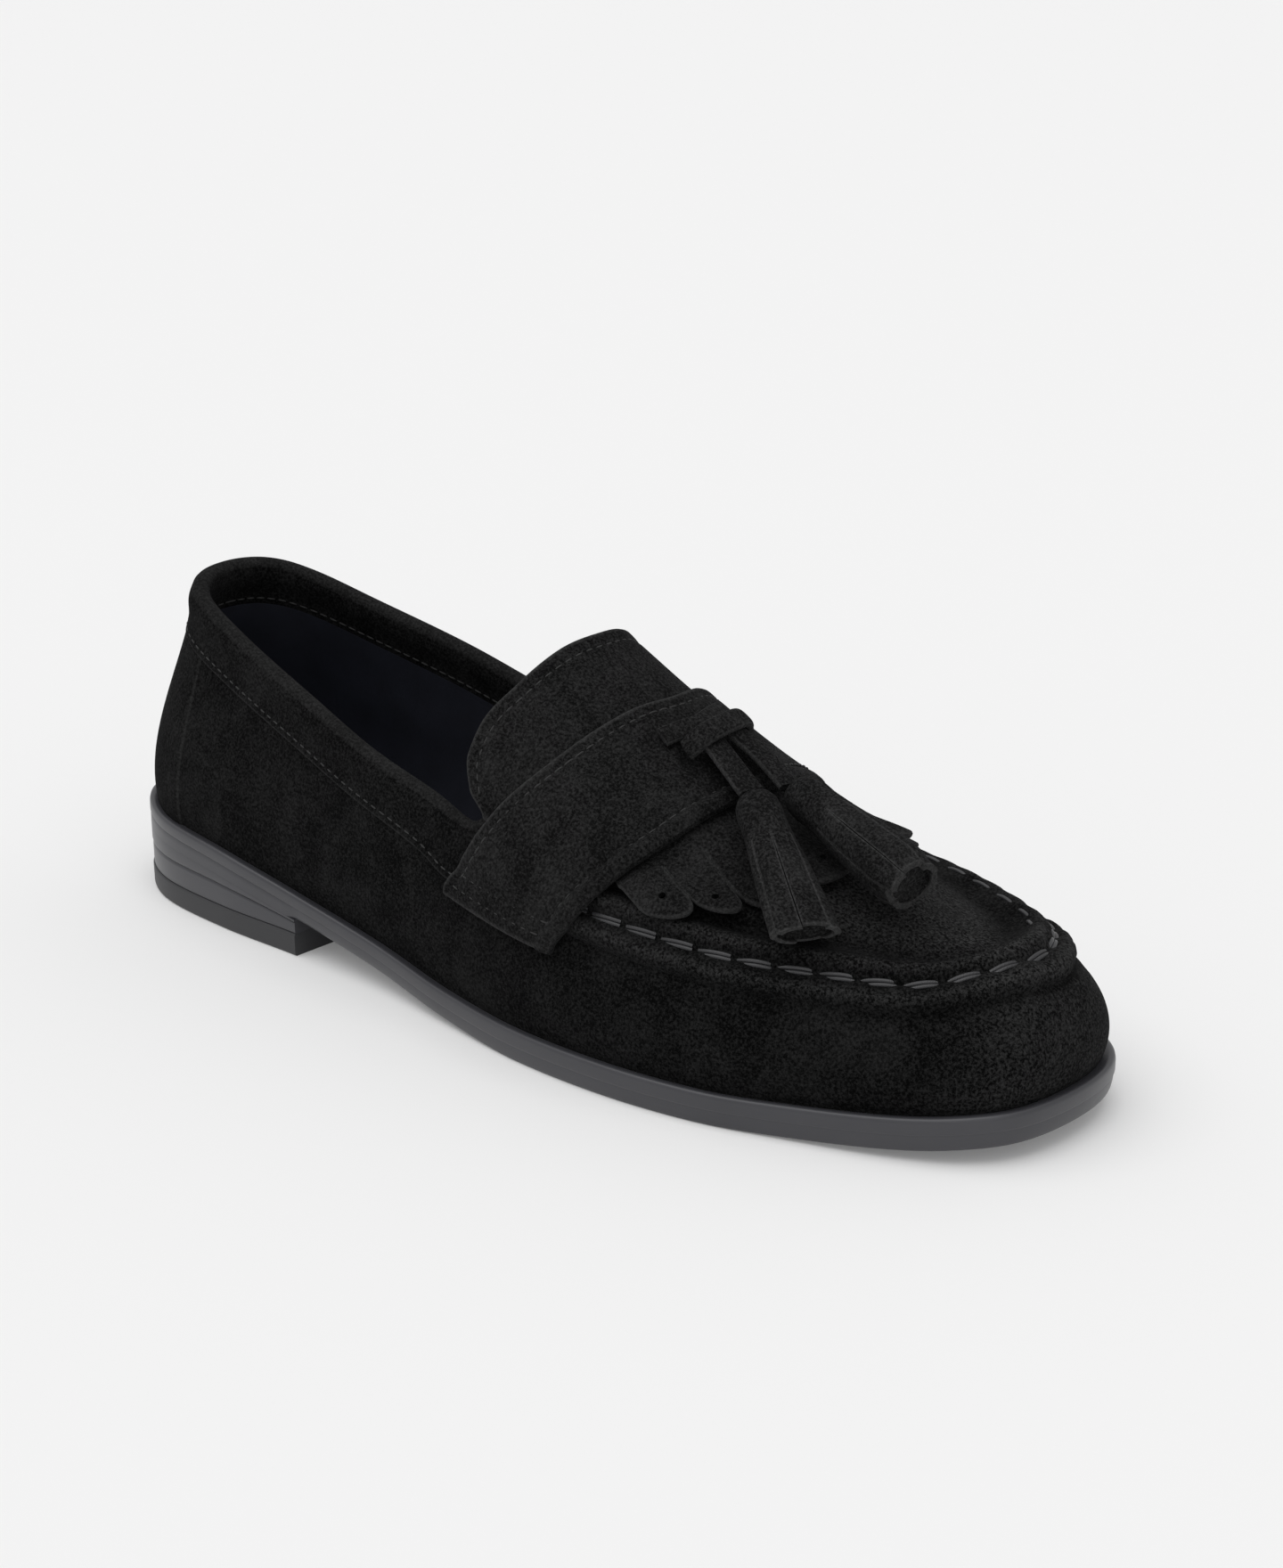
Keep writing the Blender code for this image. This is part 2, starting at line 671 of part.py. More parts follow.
def add_heel():
    """The heel block with the line of its wedge, and the top lift that stands on the floor."""
    section = np.linspace(0.0, HEEL_BREAST, HEEL_SECTIONS)
    _, _, under = feather(section, -1)
    top = under - GAP
    low = np.full_like(top, TOP_LIFT_HEIGHT + GAP)
    tall = top - low
    line = top - tall * lookup(WEDGE_LINE, WEDGE_LINE_COLUMNS, "section", "share", section)
    reach = SOLE_REACH - HEEL_SETBACK
    block = []
    for inset, *shares in HEEL_EDGE:
        height = next(start + share * tall for start, share in zip((top, line, low), shares) if share is not None)
        block.append((reach - inset * MM, height))
    slab("heel_block", section, block, RUBBER)
    lift = [(reach - inset * MM, np.full_like(top, share * TOP_LIFT_HEIGHT)) for inset, share in LIFT_EDGE]
    slab("heel_top_lift", section, lift, LIFT_RUBBER)


def add_insole():
    """The padded sock inside the upper, on the sole."""
    section = np.linspace(0.0, TOE, SECTIONS_A_SIDE)[1:-1]
    foot, _, _ = feather(section, -1)
    low = foot[:, 2] + GAP
    inset = -UPPER_WALL - INSOLE_INSET
    levels = [
        (inset - INSOLE_ROUNDING, low + INSOLE_THICKNESS),
        (inset, low + INSOLE_THICKNESS - INSOLE_ROUNDING),
        (inset, low),
    ]
    return slab("insole", section, levels, LINING)


def last_points(section, up, side):
    """Points of the closed last at sections and shares of the way up, one for one."""
    points, _ = along_curves(closed_curves(section, side), np.asarray(up)[:, None])
    return points[:, 0]


def overlay_grid(across, edges, columns, steps):
    """A sheet over the instep, between a table's back and front edges. across runs from the lateral side
    at -1 over the ridge at 0 to the medial side at 1, as shares of the way from the ridge to the feather."""
    points = np.empty((len(across), steps + 1, 3))
    for i, place in enumerate(across):
        up = 1.0 - abs(place)
        back = lookup(edges, columns, "up", "back", up)
        front = lookup(edges, columns, "up", "front", up)
        section = np.linspace(back, front, steps + 1)
        points[i] = last_points(section, np.full(steps + 1, up), -1 if place < 0 else 1)
    return points


def add_saddle_strap():
    """The strap over the instep: down each side to the vamp, with the tongue and the fringe under it."""
    ends = 1.0 - STRAP_EDGES[0][0]
    wide, steps = STRAP_STEPS
    across = np.linspace(-ends, ends, wide + 1)
    points = overlay_grid(across, STRAP_EDGES, STRAP_COLUMNS, steps)
    height = lookup(STRAP_HEIGHT, STRAP_HEIGHT_COLUMNS, "up", "height", 1.0 - abs(across)) * MM
    low = np.repeat(height[:, None], steps + 1, axis=1)
    high = low + STRAP_THICKNESS
    faces = grid_faces(len(across), steps + 1)
    return shell("saddle_strap", points.reshape(-1, 3), turned(faces), low.reshape(-1),
                 high.reshape(-1), SUEDE)


def turned(faces):
    """The same faces seen from their other side."""
    return [tuple(reversed(face)) for face in faces]


def add_tongue():
    """The tongue: it rises behind the strap and its front lies under it."""
    ends = 1.0 - TONGUE_EDGES[0][0]
    wide, steps = TONGUE_STEPS
    across = np.linspace(-ends, ends, wide + 1)
    points = overlay_grid(across, TONGUE_EDGES, TONGUE_COLUMNS, steps)
    low = np.full(points.shape[:2], TONGUE_HEIGHT)
    high = low + TONGUE_THICKNESS
    faces = grid_faces(len(across), steps + 1)
    return shell("tongue", points.reshape(-1, 3), turned(faces), low.reshape(-1), high.reshape(-1), SUEDE)


def strip_rows():
    """The fringe's edges from the lateral to the medial side, and which side each strip is on."""
    half = np.array(FRINGE_EDGES)
    strips = len(half) - 1
    return np.vstack([half, half[-2::-1]]), [-1] * strips + [1] * strips


def strip_point(left, right, side, s, t):
    """A point of the fringe: s runs across a strip, t along it. Also how high its underside is there."""
    open_share = ease(t, *FRINGE_SLIT_OPENS) * FRINGE_SLIT / FRINGE_STRIP_WIDTH
    across = 0.5 + (s - 0.5) * (1.0 - open_share)
    edge = left * (1.0 - across) + right * across
    section = edge[0] + (edge[2] - edge[0]) * t
    up = min(edge[1] + (edge[3] - edge[1]) * t, 1.0)
    over = lookup(FRINGE_HEIGHT, FRINGE_HEIGHT_COLUMNS, "up", "height", up) * MM
    out = ease(t, *FRINGE_OUT)
    height = FRINGE_ROOT_HEIGHT * (1.0 - out) + over * out + FRINGE_CURL * ease(t, *FRINGE_CURLS)
    return last_points(np.array([section]), np.array([up]), side)[0], height


def add_fringe():
    """The fringe that comes out in front of the strap: one sheet cut into strips with round ends."""
    rows, sides = strip_rows()
    points, low, faces = [], [], []
    wide, steps = STRIP_STEPS
    for strip, side in enumerate(sides):
        faces.extend(grid_faces(wide + 1, steps + 1, offset=len(points)))
        for i in range(wide + 1):
            bow = 2.0 * i / wide - 1.0
            tip = 1.0 - FRINGE_TIP_ROUND * (1.0 - math.sqrt(1.0 - bow * bow))
            for j in range(steps + 1):
                point, height = strip_point(rows[strip], rows[strip + 1], side, i / wide, tip * j / steps)
                points.append(point)
                low.append(height)
    points, low = np.array(points), np.array(low)
    return shell("kiltie_fringe", points, turned(faces), low, low + FRINGE_THICKNESS, SUEDE)


def over_last(places):
    """Points over the last and the way up from it there, for rows of (section, across, height)."""
    step = 0.02
    feet, ups = [], []
    for k, a, h in places:
        side = -1 if a < 0.0 else 1
        up = 1.0 - abs(a)
        around = last_points(np.array([k, k - step, k + step]), np.array([up, up, up]), side)
        low, high = max(up - step, 0.0), min(up + step, 1.0)
        climb = last_points(np.array([k, k]), np.array([low, high]), side)
        out = np.cross(around[2] - around[1], climb[1] - climb[0]) * -side
        out /= np.linalg.norm(out)
        if up > 1.0 - step:
            out[1] = 0.0
        feet.append(around[0] + out * h * MM)
        ups.append(out / np.linalg.norm(out))
    return np.array(feet), np.array(ups)


def add_tassel(name, head, end, pressed):
    """A tassel: a wrapped head and a skirt of strips round a hollow, pressed flat on the shoe below it."""
    (start, finish), (_, up) = over_last((head, end))
    start, axis, up = Vector(start), Vector(finish - start).normalized(), Vector(up)
    across = axis.cross(up).normalized()
    up = across.cross(axis)
    around = TASSEL_STRIPS * len(STRIP_CUT)
    rings = [(along * TASSEL_LENGTH, radius * TASSEL_HEAD_RADIUS, groove * TASSEL_STRIP_GROOVE,
              1.0 - pressed * (1.0 - flat)) for along, radius, groove, flat in TASSEL_PROFILE]
    length, radius, groove, flat = rings[-1]
    rings.append((length - TASSEL_WALL / 4.0, radius - TASSEL_WALL, groove, flat))
    rings.append((length - TASSEL_HOLLOW, radius - 2.0 * TASSEL_WALL, 0.0, flat))
    points, faces = [], []
    for along, radius, groove, flat in rings:
        for i in range(around):
            angle = 2.0 * math.pi * i / around
            strip, place = divmod(i, len(STRIP_CUT))
            longer = math.sin(2.4 * strip) * ease(along, 0.5 * TASSEL_LENGTH, TASSEL_LENGTH)
            r = radius - groove * (1.0 - STRIP_CUT[place])
            points.append(start + axis * (along + TASSEL_STAGGER * longer) + across * (r * math.cos(angle))
                          + up * (r * flat * math.sin(angle)))
    for ring in range(len(rings) - 1):
        for i in range(around):
            a, b = ring * around + i, ring * around + (i + 1) % around
            faces.append((a, b, b + around, a + around))
    faces.append(tuple(range(around)))
    faces.append(tuple(reversed(range((len(rings) - 1) * around, len(rings) * around))))
    return add_solid(name, points, faces, SUEDE)


def add_lace(name, route):
    """A flat strip of lace along a route over the last, with rounded edges."""
    rows = read(route, LACE_COLUMNS, np.linspace(0.0, len(route) - 1.0, LACE_STEPS + 1),
                through=LACE_COLUMNS)
    places, ups = over_last(list(zip(*(rows[column] for column in LACE_COLUMNS))))
    points, faces = [], []
    for i, (place, up) in enumerate(zip(places, ups)):
        ahead = places[min(i + 1, LACE_STEPS)] - places[max(i - 1, 0)]
        across = np.cross(ahead, up)
        across /= np.linalg.norm(across)
        above = np.cross(across, ahead)
        above /= np.linalg.norm(above)
        for a, b in LACE_EDGE:
            points.append(place + across * a * LACE_WIDTH / 2.0 + above * b * LACE_THICKNESS / 2.0)
    count = len(LACE_EDGE)
    for i in range(LACE_STEPS):
        for j in range(count):
            a, b = i * count + j, i * count + (j + 1) % count
            faces.append((a, b, b + count, a + count))
    faces.append(tuple(range(count)))
    faces.append(tuple(reversed(range(LACE_STEPS * count, (LACE_STEPS + 1) * count))))
    return add_solid(name, points, faces, SUEDE)


def main():
    """Clear the scene and build the shoe."""
    for piece in list(bpy.data.objects):
        bpy.data.objects.remove(piece, do_unlink=True)
    add_upper()
    add_outsole()
    add_heel()
    add_insole()
    add_tongue()
    add_saddle_strap()
    add_fringe()
    for tassel in TASSELS:
        add_tassel(*tassel)
    for name, route in LACE_ROUTES:
        add_lace(name, route)


main()
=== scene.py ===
# %% [markdown]
# # A tassel loafer in black suede
# One right shoe stands on its sole: suede upper with a moc-toe apron, a saddle strap, a cut fringe, a
# lace with two tassels, and a slim rubber sole with a low heel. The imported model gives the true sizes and
# places. Each step below makes one piece or one finish of the real shoe over it.

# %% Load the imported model
import math

import bmesh
import bpy
import numpy as np
from mathutils import Matrix, Vector


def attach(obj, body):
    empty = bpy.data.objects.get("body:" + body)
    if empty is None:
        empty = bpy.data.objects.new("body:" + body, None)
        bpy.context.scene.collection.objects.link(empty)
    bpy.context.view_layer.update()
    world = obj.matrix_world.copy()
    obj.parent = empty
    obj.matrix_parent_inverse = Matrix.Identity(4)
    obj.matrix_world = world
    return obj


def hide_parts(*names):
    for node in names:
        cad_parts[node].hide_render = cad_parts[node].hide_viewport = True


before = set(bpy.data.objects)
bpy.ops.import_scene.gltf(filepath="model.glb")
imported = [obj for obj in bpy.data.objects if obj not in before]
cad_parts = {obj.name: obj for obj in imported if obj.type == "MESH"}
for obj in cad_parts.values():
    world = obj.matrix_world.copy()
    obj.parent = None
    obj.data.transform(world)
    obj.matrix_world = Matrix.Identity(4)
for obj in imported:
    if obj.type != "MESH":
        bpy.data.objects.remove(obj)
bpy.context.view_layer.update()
MM = 0.001
print("nodes:", ", ".join(sorted(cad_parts)))

# %% [markdown]
# ## Camera, floor and light
# A product picture is taken with a long lens from a little above, and the shoe stands in a tent of white
# cloth. So the floor runs out of the frame, the world is a soft white dome, and one large lamp above and
# one at the side give the rubber its long highlight. The camera's turn and tilt are those of the
# photograph, and its lens is worked out from the picture's height in pixels.

# %% Camera
PICTURE_HEIGHT = 1760
FOCAL_PIXELS = 3203.0
VIEW_AZIMUTH, VIEW_ELEVATION, VIEW_ROLL = (math.radians(a) for a in (39.32, 18.07, 0.525))
VIEW_DISTANCE = 0.6443
VIEW_TARGET = Vector((-0.01586, 0.04003, 0.03086))


def add_camera():
    """The camera: it looks back along the line from the target, and is rolled a little."""
    lens = bpy.data.cameras.new("product_camera")
    lens.sensor_fit = "VERTICAL"
    lens.sensor_height = 36.0
    lens.lens = FOCAL_PIXELS / PICTURE_HEIGHT * 36.0
    lens.clip_start = 0.01
    camera = bpy.data.objects.new("product_camera", lens)
    bpy.context.scene.collection.objects.link(camera)
    a, e, r = VIEW_AZIMUTH, VIEW_ELEVATION, VIEW_ROLL
    back = Vector((math.sin(a) * math.cos(e), -math.cos(a) * math.cos(e), math.sin(e)))
    right = Vector((math.cos(a), math.sin(a), 0.0))
    up = back.cross(right)
    turned_right = right * math.cos(r) + up * math.sin(r)
    turned_up = up * math.cos(r) - right * math.sin(r)
    pose = Matrix((turned_right, turned_up, back)).transposed().to_4x4()
    pose.translation = VIEW_TARGET + back * VIEW_DISTANCE
    camera.matrix_world = pose
    bpy.context.scene.camera = camera


add_camera()
print("camera set")

# %% Helpers for colours and nodes


def linear(hex_colour):
    """A colour written as sRGB hex, as linear values."""
    values = [int(hex_colour[i:i + 2], 16) / 255.0 for i in (0, 2, 4)]
    return [v / 12.92 if v <= 0.04045 else ((v + 0.055) / 1.055) ** 2.4 for v in values] + [1.0]


def add(tree, kind, inputs=None, **settings):
    """Adds a node with its settings. inputs holds values, or other nodes' outputs to link."""
    item = tree.nodes.new(kind)
    for key, value in settings.items():
        setattr(item, key, value)
    for key, value in (inputs or {}).items():
        if isinstance(value, bpy.types.NodeSocket):
            tree.links.new(value, item.inputs[key])
        else:
            item.inputs[key].default_value = value
    return item


def new_material(name):
    """An empty material, its tree, its shader and a source of Object coordinates."""
    material = bpy.data.materials.new(name)
    material.use_nodes = True
    tree = material.node_tree
    shader = tree.nodes["Principled BSDF"]
    place = add(tree, "ShaderNodeTexCoord").outputs["Object"]
    return material, tree, shader, place


# %% Floor and light
def add_floor():
    """A pale sheet of paper, wide enough to fill the frame and lit a little from below, as in a light tent."""
    mesh = bpy.data.meshes.new("floor")
    shape = bmesh.new()
    bmesh.ops.create_grid(shape, x_segments=1, y_segments=1, size=30.0)
    shape.to_mesh(mesh)
    shape.free()
    material, _, shader, _ = new_material("matt_white_paper")
    shader.inputs["Base Color"].default_value = linear("E0E0E0")
    shader.inputs["Emission Color"].default_value = (1.0, 1.0, 1.0, 1.0)
    shader.inputs["Emission Strength"].default_value = 0.13
    shader.inputs["Roughness"].default_value = 0.9
    shader.inputs["Specular IOR Level"].default_value = 0.1
    mesh.materials.append(material)
    floor = bpy.data.objects.new("floor", mesh)
    bpy.context.scene.collection.objects.link(floor)


def add_lamp(name, aim, spread, power):
    """Soft light from a wide patch of the tent: it shines along aim."""
    lamp = bpy.data.lights.new(name, "SUN")
    lamp.angle = math.radians(spread)
    lamp.energy = power
    item = bpy.data.objects.new(name, lamp)
    item.rotation_euler = Vector(aim).to_track_quat("-Z", "Y").to_euler()
    bpy.context.scene.collection.objects.link(item)


def add_dome(strength):
    """The white tent round the shoe."""
    world = bpy.data.worlds.new("white_tent")
    world.use_nodes = True
    sky = world.node_tree.nodes["Background"]
    sky.inputs["Color"].default_value = (1.0, 1.0, 1.0, 1.0)
    sky.inputs["Strength"].default_value = strength
    bpy.context.scene.world = world


add_floor()
add_dome(0.52)
add_lamp("lamp_above", (0.10, 0.25, -1.0), 70.0, 1.45)
add_lamp("lamp_side", (-0.55, 0.45, -0.60), 60.0, 0.35)
bpy.context.scene.view_settings.view_transform = "Standard"
print("floor, dome and lamps set")

# %% [markdown]
# ## The last
# A shoe is built on a last, a form of the foot. Here the last is a function. Its table has a row for each
# section round the foot, from the back seam (0) to the toe (14). Each section rises from the feather line,
# where the upper meets the sole, to the collar or to the ridge of the instep. The sizes are the model's own.

# %% Sizes and tables of the last
LENGTH, BALL_WIDTH, COLLAR_HEIGHT, INSTEP_HEIGHT = 250 * MM, 83 * MM, 73.5 * MM, 80 * MM
SOLE_REACH, SOLE_THICKNESS, HEEL_HEIGHT, TOE_SPRING = 2.6 * MM, 6.6 * MM, 15.5 * MM, 4.2 * MM
LIFT_HEIGHT, WALL, GAP = 5.2 * MM, 2.2 * MM, 0.3 * MM
BAND_WIDTH, BAND_STEP = 10.5 * MM, 0.9 * MM
BACK_STRAP_STEP, BACK_STRAP_REACH = 0.7 * MM, 25.5 * MM
ROLL_HEIGHT, ROLL_WIDTH = 2.7 * MM, 9.0 * MM

# along, lateral, medial (shares of length and ball width), turn (degrees), lift, thick
SECTIONS = np.array((
    (0.000, 0.000, 0.000, 180, 1.00, 0.85), (0.018, 0.165, 0.160, 146, 1.00, 0.85),
    (0.075, 0.287, 0.287, 112, 0.93, 0.85), (0.170, 0.339, 0.336, 95, 0.81, 0.85),
    (0.270, 0.356, 0.337, 90, 0.56, 0.85), (0.380, 0.386, 0.322, 90, 0.30, 0.86),
    (0.480, 0.444, 0.340, 90, 0.09, 0.92), (0.580, 0.499, 0.400, 89, 0.00, 1.00),
    (0.670, 0.515, 0.464, 88, 0.00, 1.00), (0.760, 0.492, 0.487, 86, 0.00, 1.00),
    (0.840, 0.430, 0.455, 76, 0.14, 1.00), (0.915, 0.362, 0.374, 60, 0.46, 1.00),
    (0.963, 0.290, 0.274, 41, 0.79, 1.00), (0.991, 0.180, 0.160, 20, 0.94, 1.00),
    (1.000, 0.000, 0.000, 0, 1.00, 1.00)))
TOE, BALL = 14, 8
# along, lateral, medial, height of the collar's edge beside sections 0 to 6
COLLAR = np.array((
    (0.060, 0.000, 0.000, 1.000), (0.069, 0.125, 0.125, 0.988), (0.098, 0.200, 0.210, 0.948),
    (0.165, 0.252, 0.268, 0.873), (0.266, 0.314, 0.318, 0.778), (0.376, 0.370, 0.338, 0.674),
    (0.498, 0.394, 0.347, 0.586)))
COLLAR_END = 6
# along and height of the ridge, bulge, rise, crown, and the seam's share of the way up, from section 4
RIDGE_START = 4
RIDGE = np.array((
    (0.290, 1.200, 0.030, 0.35, 0.60, 0.350), (0.390, 1.130, 0.035, 0.37, 0.60, 0.300),
    (0.490, 1.000, 0.045, 0.41, 0.60, 0.266), (0.585, 0.820, 0.055, 0.44, 0.60, 0.321),
    (0.670, 0.670, 0.055, 0.44, 0.62, 0.336), (0.745, 0.575, 0.055, 0.44, 0.65, 0.352),
    (0.805, 0.515, 0.055, 0.44, 0.68, 0.384), (0.864, 0.467, 0.055, 0.44, 0.70, 0.430),
    (0.895, 0.450, 0.055, 0.44, 0.70, 0.532), (0.917, 0.447, 0.055, 0.44, 0.70, 0.618),
    (0.923, 0.447, 0.055, 0.44, 0.70, 0.630)))
CENTRE_SHIFT = (SECTIONS[:, 1].max() - SECTIONS[:, 2].max()) / 2.0 * BALL_WIDTH
print("the last has", len(SECTIONS), "sections, and stands", round(CENTRE_SHIFT / MM, 2), "mm to the side")

# %% Curves of the last


def read(table, row, through=()):
    """Smooth values of a table at fractional rows. Columns in through run straight on past its ends."""
    on = np.isin(np.arange(table.shape[1]), through)
    rows = np.vstack([np.where(on, 2 * table[0] - table[1], table[1]), table,
                      np.where(on, 2 * table[-1] - table[-2], table[-2])])
    steps = np.diff(rows, axis=0)
    before, after = steps[:-1], steps[1:]
    limit = 3.0 * np.minimum(abs(before), abs(after))
    middle = np.where(before * after > 0.0, (before + after) / 2.0, 0.0)
    slope = np.vstack([steps[:1], np.clip(middle, -limit, limit), steps[-1:]])
    place = np.clip(np.asarray(row, dtype=float), 0.0, len(table) - 1.0) + 1.0
    start = np.minimum(place.astype(int), len(rows) - 2)
    t = (place - start)[..., None]
    return ((2 * t**3 - 3 * t**2 + 1) * rows[start] + (t**3 - 2 * t**2 + t) * slope[start]
            + (3 * t**2 - 2 * t**3) * rows[start + 1] + (t**3 - t**2) * slope[start + 1])


def ease(value, start, end):
    """0 before start, 1 after end, and a soft rise between them."""
    t = np.clip((np.asarray(value, dtype=float) - start) / (end - start), 0.0, 1.0)
    return t * t * (3.0 - 2.0 * t)


def spots(x, y, z):
    """Points from their coordinates."""
    return np.stack(np.broadcast_arrays(x, y, z), axis=-1)


def unit(vectors):
    """Vectors of length 1."""
    return vectors / np.maximum(np.linalg.norm(vectors, axis=-1, keepdims=True), 1e-12)


def length_place(share):
    """A share of the last's length as an x coordinate."""
    return -LENGTH / 2.0 + SOLE_REACH + share * (LENGTH - 2.0 * SOLE_REACH)


def feather(section, side):
    """The feather line: its points, the way outwards, and the height of the sole's underside."""
    section, side = np.broadcast_arrays(np.asarray(section, dtype=float), np.asarray(side, dtype=float))
    along, lateral, medial, turn, lift, thick = np.moveaxis(read(SECTIONS, section, (1, 2, 3)), -1, 0)
    under = lift * np.where(section < BALL, HEEL_HEIGHT, TOE_SPRING)
    wide = side * np.where(side < 0, lateral, medial) * BALL_WIDTH + CENTRE_SHIFT
    turn = np.radians(turn)
    return (spots(length_place(along), wide, under + thick * SOLE_THICKNESS),
            spots(np.cos(turn), side * np.sin(turn), 0.0), under)


def curve_at(handles, share):
    """Points at shares of the length of cubic curves, one share for each curve."""
    t = np.linspace(0.0, 1.0, 41)[:, None]
    weights = ((1 - t)**3, 3 * (1 - t)**2 * t, 3 * (1 - t) * t**2, t**3)
    line = sum(h[..., None, :] * w for h, w in zip(handles, weights))
    step = np.linalg.norm(np.diff(line, axis=-2), axis=-1)
    run = np.concatenate([np.zeros(step.shape[:-1] + (1,)), np.cumsum(step, axis=-1)], axis=-1)
    goal = np.asarray(share, dtype=float) * run[..., -1]
    low = np.clip((run <= goal[..., None]).sum(axis=-1) - 1, 0, step.shape[-1] - 1)[..., None]
    part = (goal - np.take_along_axis(run, low, -1)[..., 0]) / np.take_along_axis(step, low, -1)[..., 0]
    a = np.take_along_axis(line, low[..., None], -2)[..., 0, :]
    b = np.take_along_axis(line, low[..., None] + 1, -2)[..., 0, :]
    return a + (b - a) * part[..., None], run[..., -1]


UP = np.array((0.0, 0.0, 1.0))


def closed_handles(section, side):
    """Handles of the closed last's sections, from the feather to the ridge."""
    foot, out, _ = feather(section, side)
    along, height, bulge, rise, crown, _ = np.moveaxis(read(RIDGE, section - RIDGE_START), -1, 0)
    ridge = spots(length_place(along), CENTRE_SHIFT, height * INSTEP_HEIGHT)
    half = np.linalg.norm((foot - ridge)[..., :2], axis=-1)
    climb = (ridge - foot)[..., 2]
    shoulder = foot + out * (bulge * BALL_WIDTH)[..., None] + UP * (rise * climb)[..., None]
    return foot, shoulder, ridge + out * (crown * half)[..., None], ridge


def collar_handles(section, side):
    """Handles of the quarters' sections, from the feather to the collar."""
    foot, out, _ = feather(section, side)
    along, lateral, medial, height = np.moveaxis(read(COLLAR, np.minimum(section, COLLAR_END), (1, 2)), -1, 0)
    wide = side * np.where(side < 0, lateral, medial) * BALL_WIDTH + CENTRE_SHIFT
    top = spots(length_place(along), wide, height * COLLAR_HEIGHT)
    climb = (top - foot)[..., 2:]
    return (foot, foot + out * 0.035 * BALL_WIDTH + UP * 0.30 * climb,
            top + out * 0.030 * BALL_WIDTH - UP * 0.32 * climb, top)


def bare_last(section, across):
    """Points of the closed last: across runs from the lateral feather (-1) over the ridge (0) to the medial (1)."""
    section, across = np.broadcast_arrays(np.asarray(section, dtype=float), np.asarray(across, dtype=float))
    side = np.where(across < 0.0, -1.0, 1.0)
    return curve_at(closed_handles(section, side), np.clip(1.0 - abs(across), 0.0, 1.0))[0]


def over(section, across, height=0.0):
    """Points at a height over the closed last, and the way up there."""
    section, across = np.broadcast_arrays(np.asarray(section, dtype=float), np.asarray(across, dtype=float))
    ahead = bare_last(np.minimum(section + 0.03, TOE), across) - bare_last(section - 0.03, across)
    sideways = bare_last(section, across + 0.02) - bare_last(section, across - 0.02)
    up = unit(np.cross(ahead, sideways))
    return bare_last(section, across) + up * np.asarray(height)[..., None], up


print("instep point:", np.round(bare_last(7.0, 0.0) / MM, 1), "mm")

# %% [markdown]
# ## Building skins
# Most of a shoe is sheet: suede 1.5 to 2.5 mm thick with a turned or cut edge. Each sheet here is a fine
# grid over the last, made into a closed wall. Solidify would leave square edges, so the rim is built in
# small steps round a half circle. An attribute called edge marks the rim, because cut suede is paler there.

# %% Skins


def link_piece(name, mesh):
    """An object for a mesh, linked into the scene."""
    piece = bpy.data.objects.new(name, mesh)
    bpy.context.scene.collection.objects.link(piece)
    return piece


def finish_piece(piece, nodes):
    """The piece rides on the shoe, and the CAD nodes it stands for are hidden."""
    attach(piece, "root")
    if nodes:
        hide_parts(*nodes)
    return piece


def make_mesh(name, points, faces, materials, cut_edge_and_painted_light=None, kinds=None, sharp=40.0):
    """A smooth mesh with its faces turned outwards. Its per-point values give the edge attribute of cut edges and,
    where there is a second column, the attribute of painted highlight.
    """
    mesh = bpy.data.meshes.new(name)
    mesh.from_pydata(points.tolist(), [], [list(dict.fromkeys(f)) for f in faces.tolist()])
    for material in materials:
        mesh.materials.append(material)
    if kinds is not None:
        mesh.polygons.foreach_set("material_index", np.asarray(kinds, dtype=np.int32))
    if cut_edge_and_painted_light is not None:
        for title, values in zip(("edge", "nap_and_painted_light"), cut_edge_and_painted_light.reshape(len(points), -1).T):
            mesh.attributes.new(title, "FLOAT", "POINT").data.foreach_set("value", values.astype(np.float32))
    shape = bmesh.new()
    shape.from_mesh(mesh)
    bmesh.ops.recalc_face_normals(shape, faces=shape.faces)
    shape.to_mesh(mesh)
    shape.free()
    mesh.shade_smooth()
    mesh.set_sharp_from_angle(angle=math.radians(sharp))
    return mesh


def grid_faces(rows, columns, offset=0, wrap=False):
    """Faces of a grid of points, as rows of four corners."""
    i = np.arange(rows if wrap else rows - 1)[:, None]
    j = np.arange(columns - 1)[None, :]
    a = (i * columns + j).ravel()
    b = ((i + 1) % rows * columns + j).ravel()
    return np.stack([a, b, b + 1, a + 1], axis=1) + offset


def weld(points, faces, *layers):
    """Points at one place become one."""
    _, first, where = np.unique(np.round(points, 6), axis=0, return_index=True, return_inverse=True)
    return (points[first], where.reshape(-1)[faces]) + tuple(layer[first] for layer in layers)


def normals_of(points, faces):
    """Area-weighted normals at the points of a surface."""
    a, b, c, d = (points[faces[:, i]] for i in range(4))
    turn = np.cross(c - a, d - b)
    normals = np.zeros_like(points)
    for i in range(4):
        np.add.at(normals, faces[:, i], turn)
    return unit(normals)


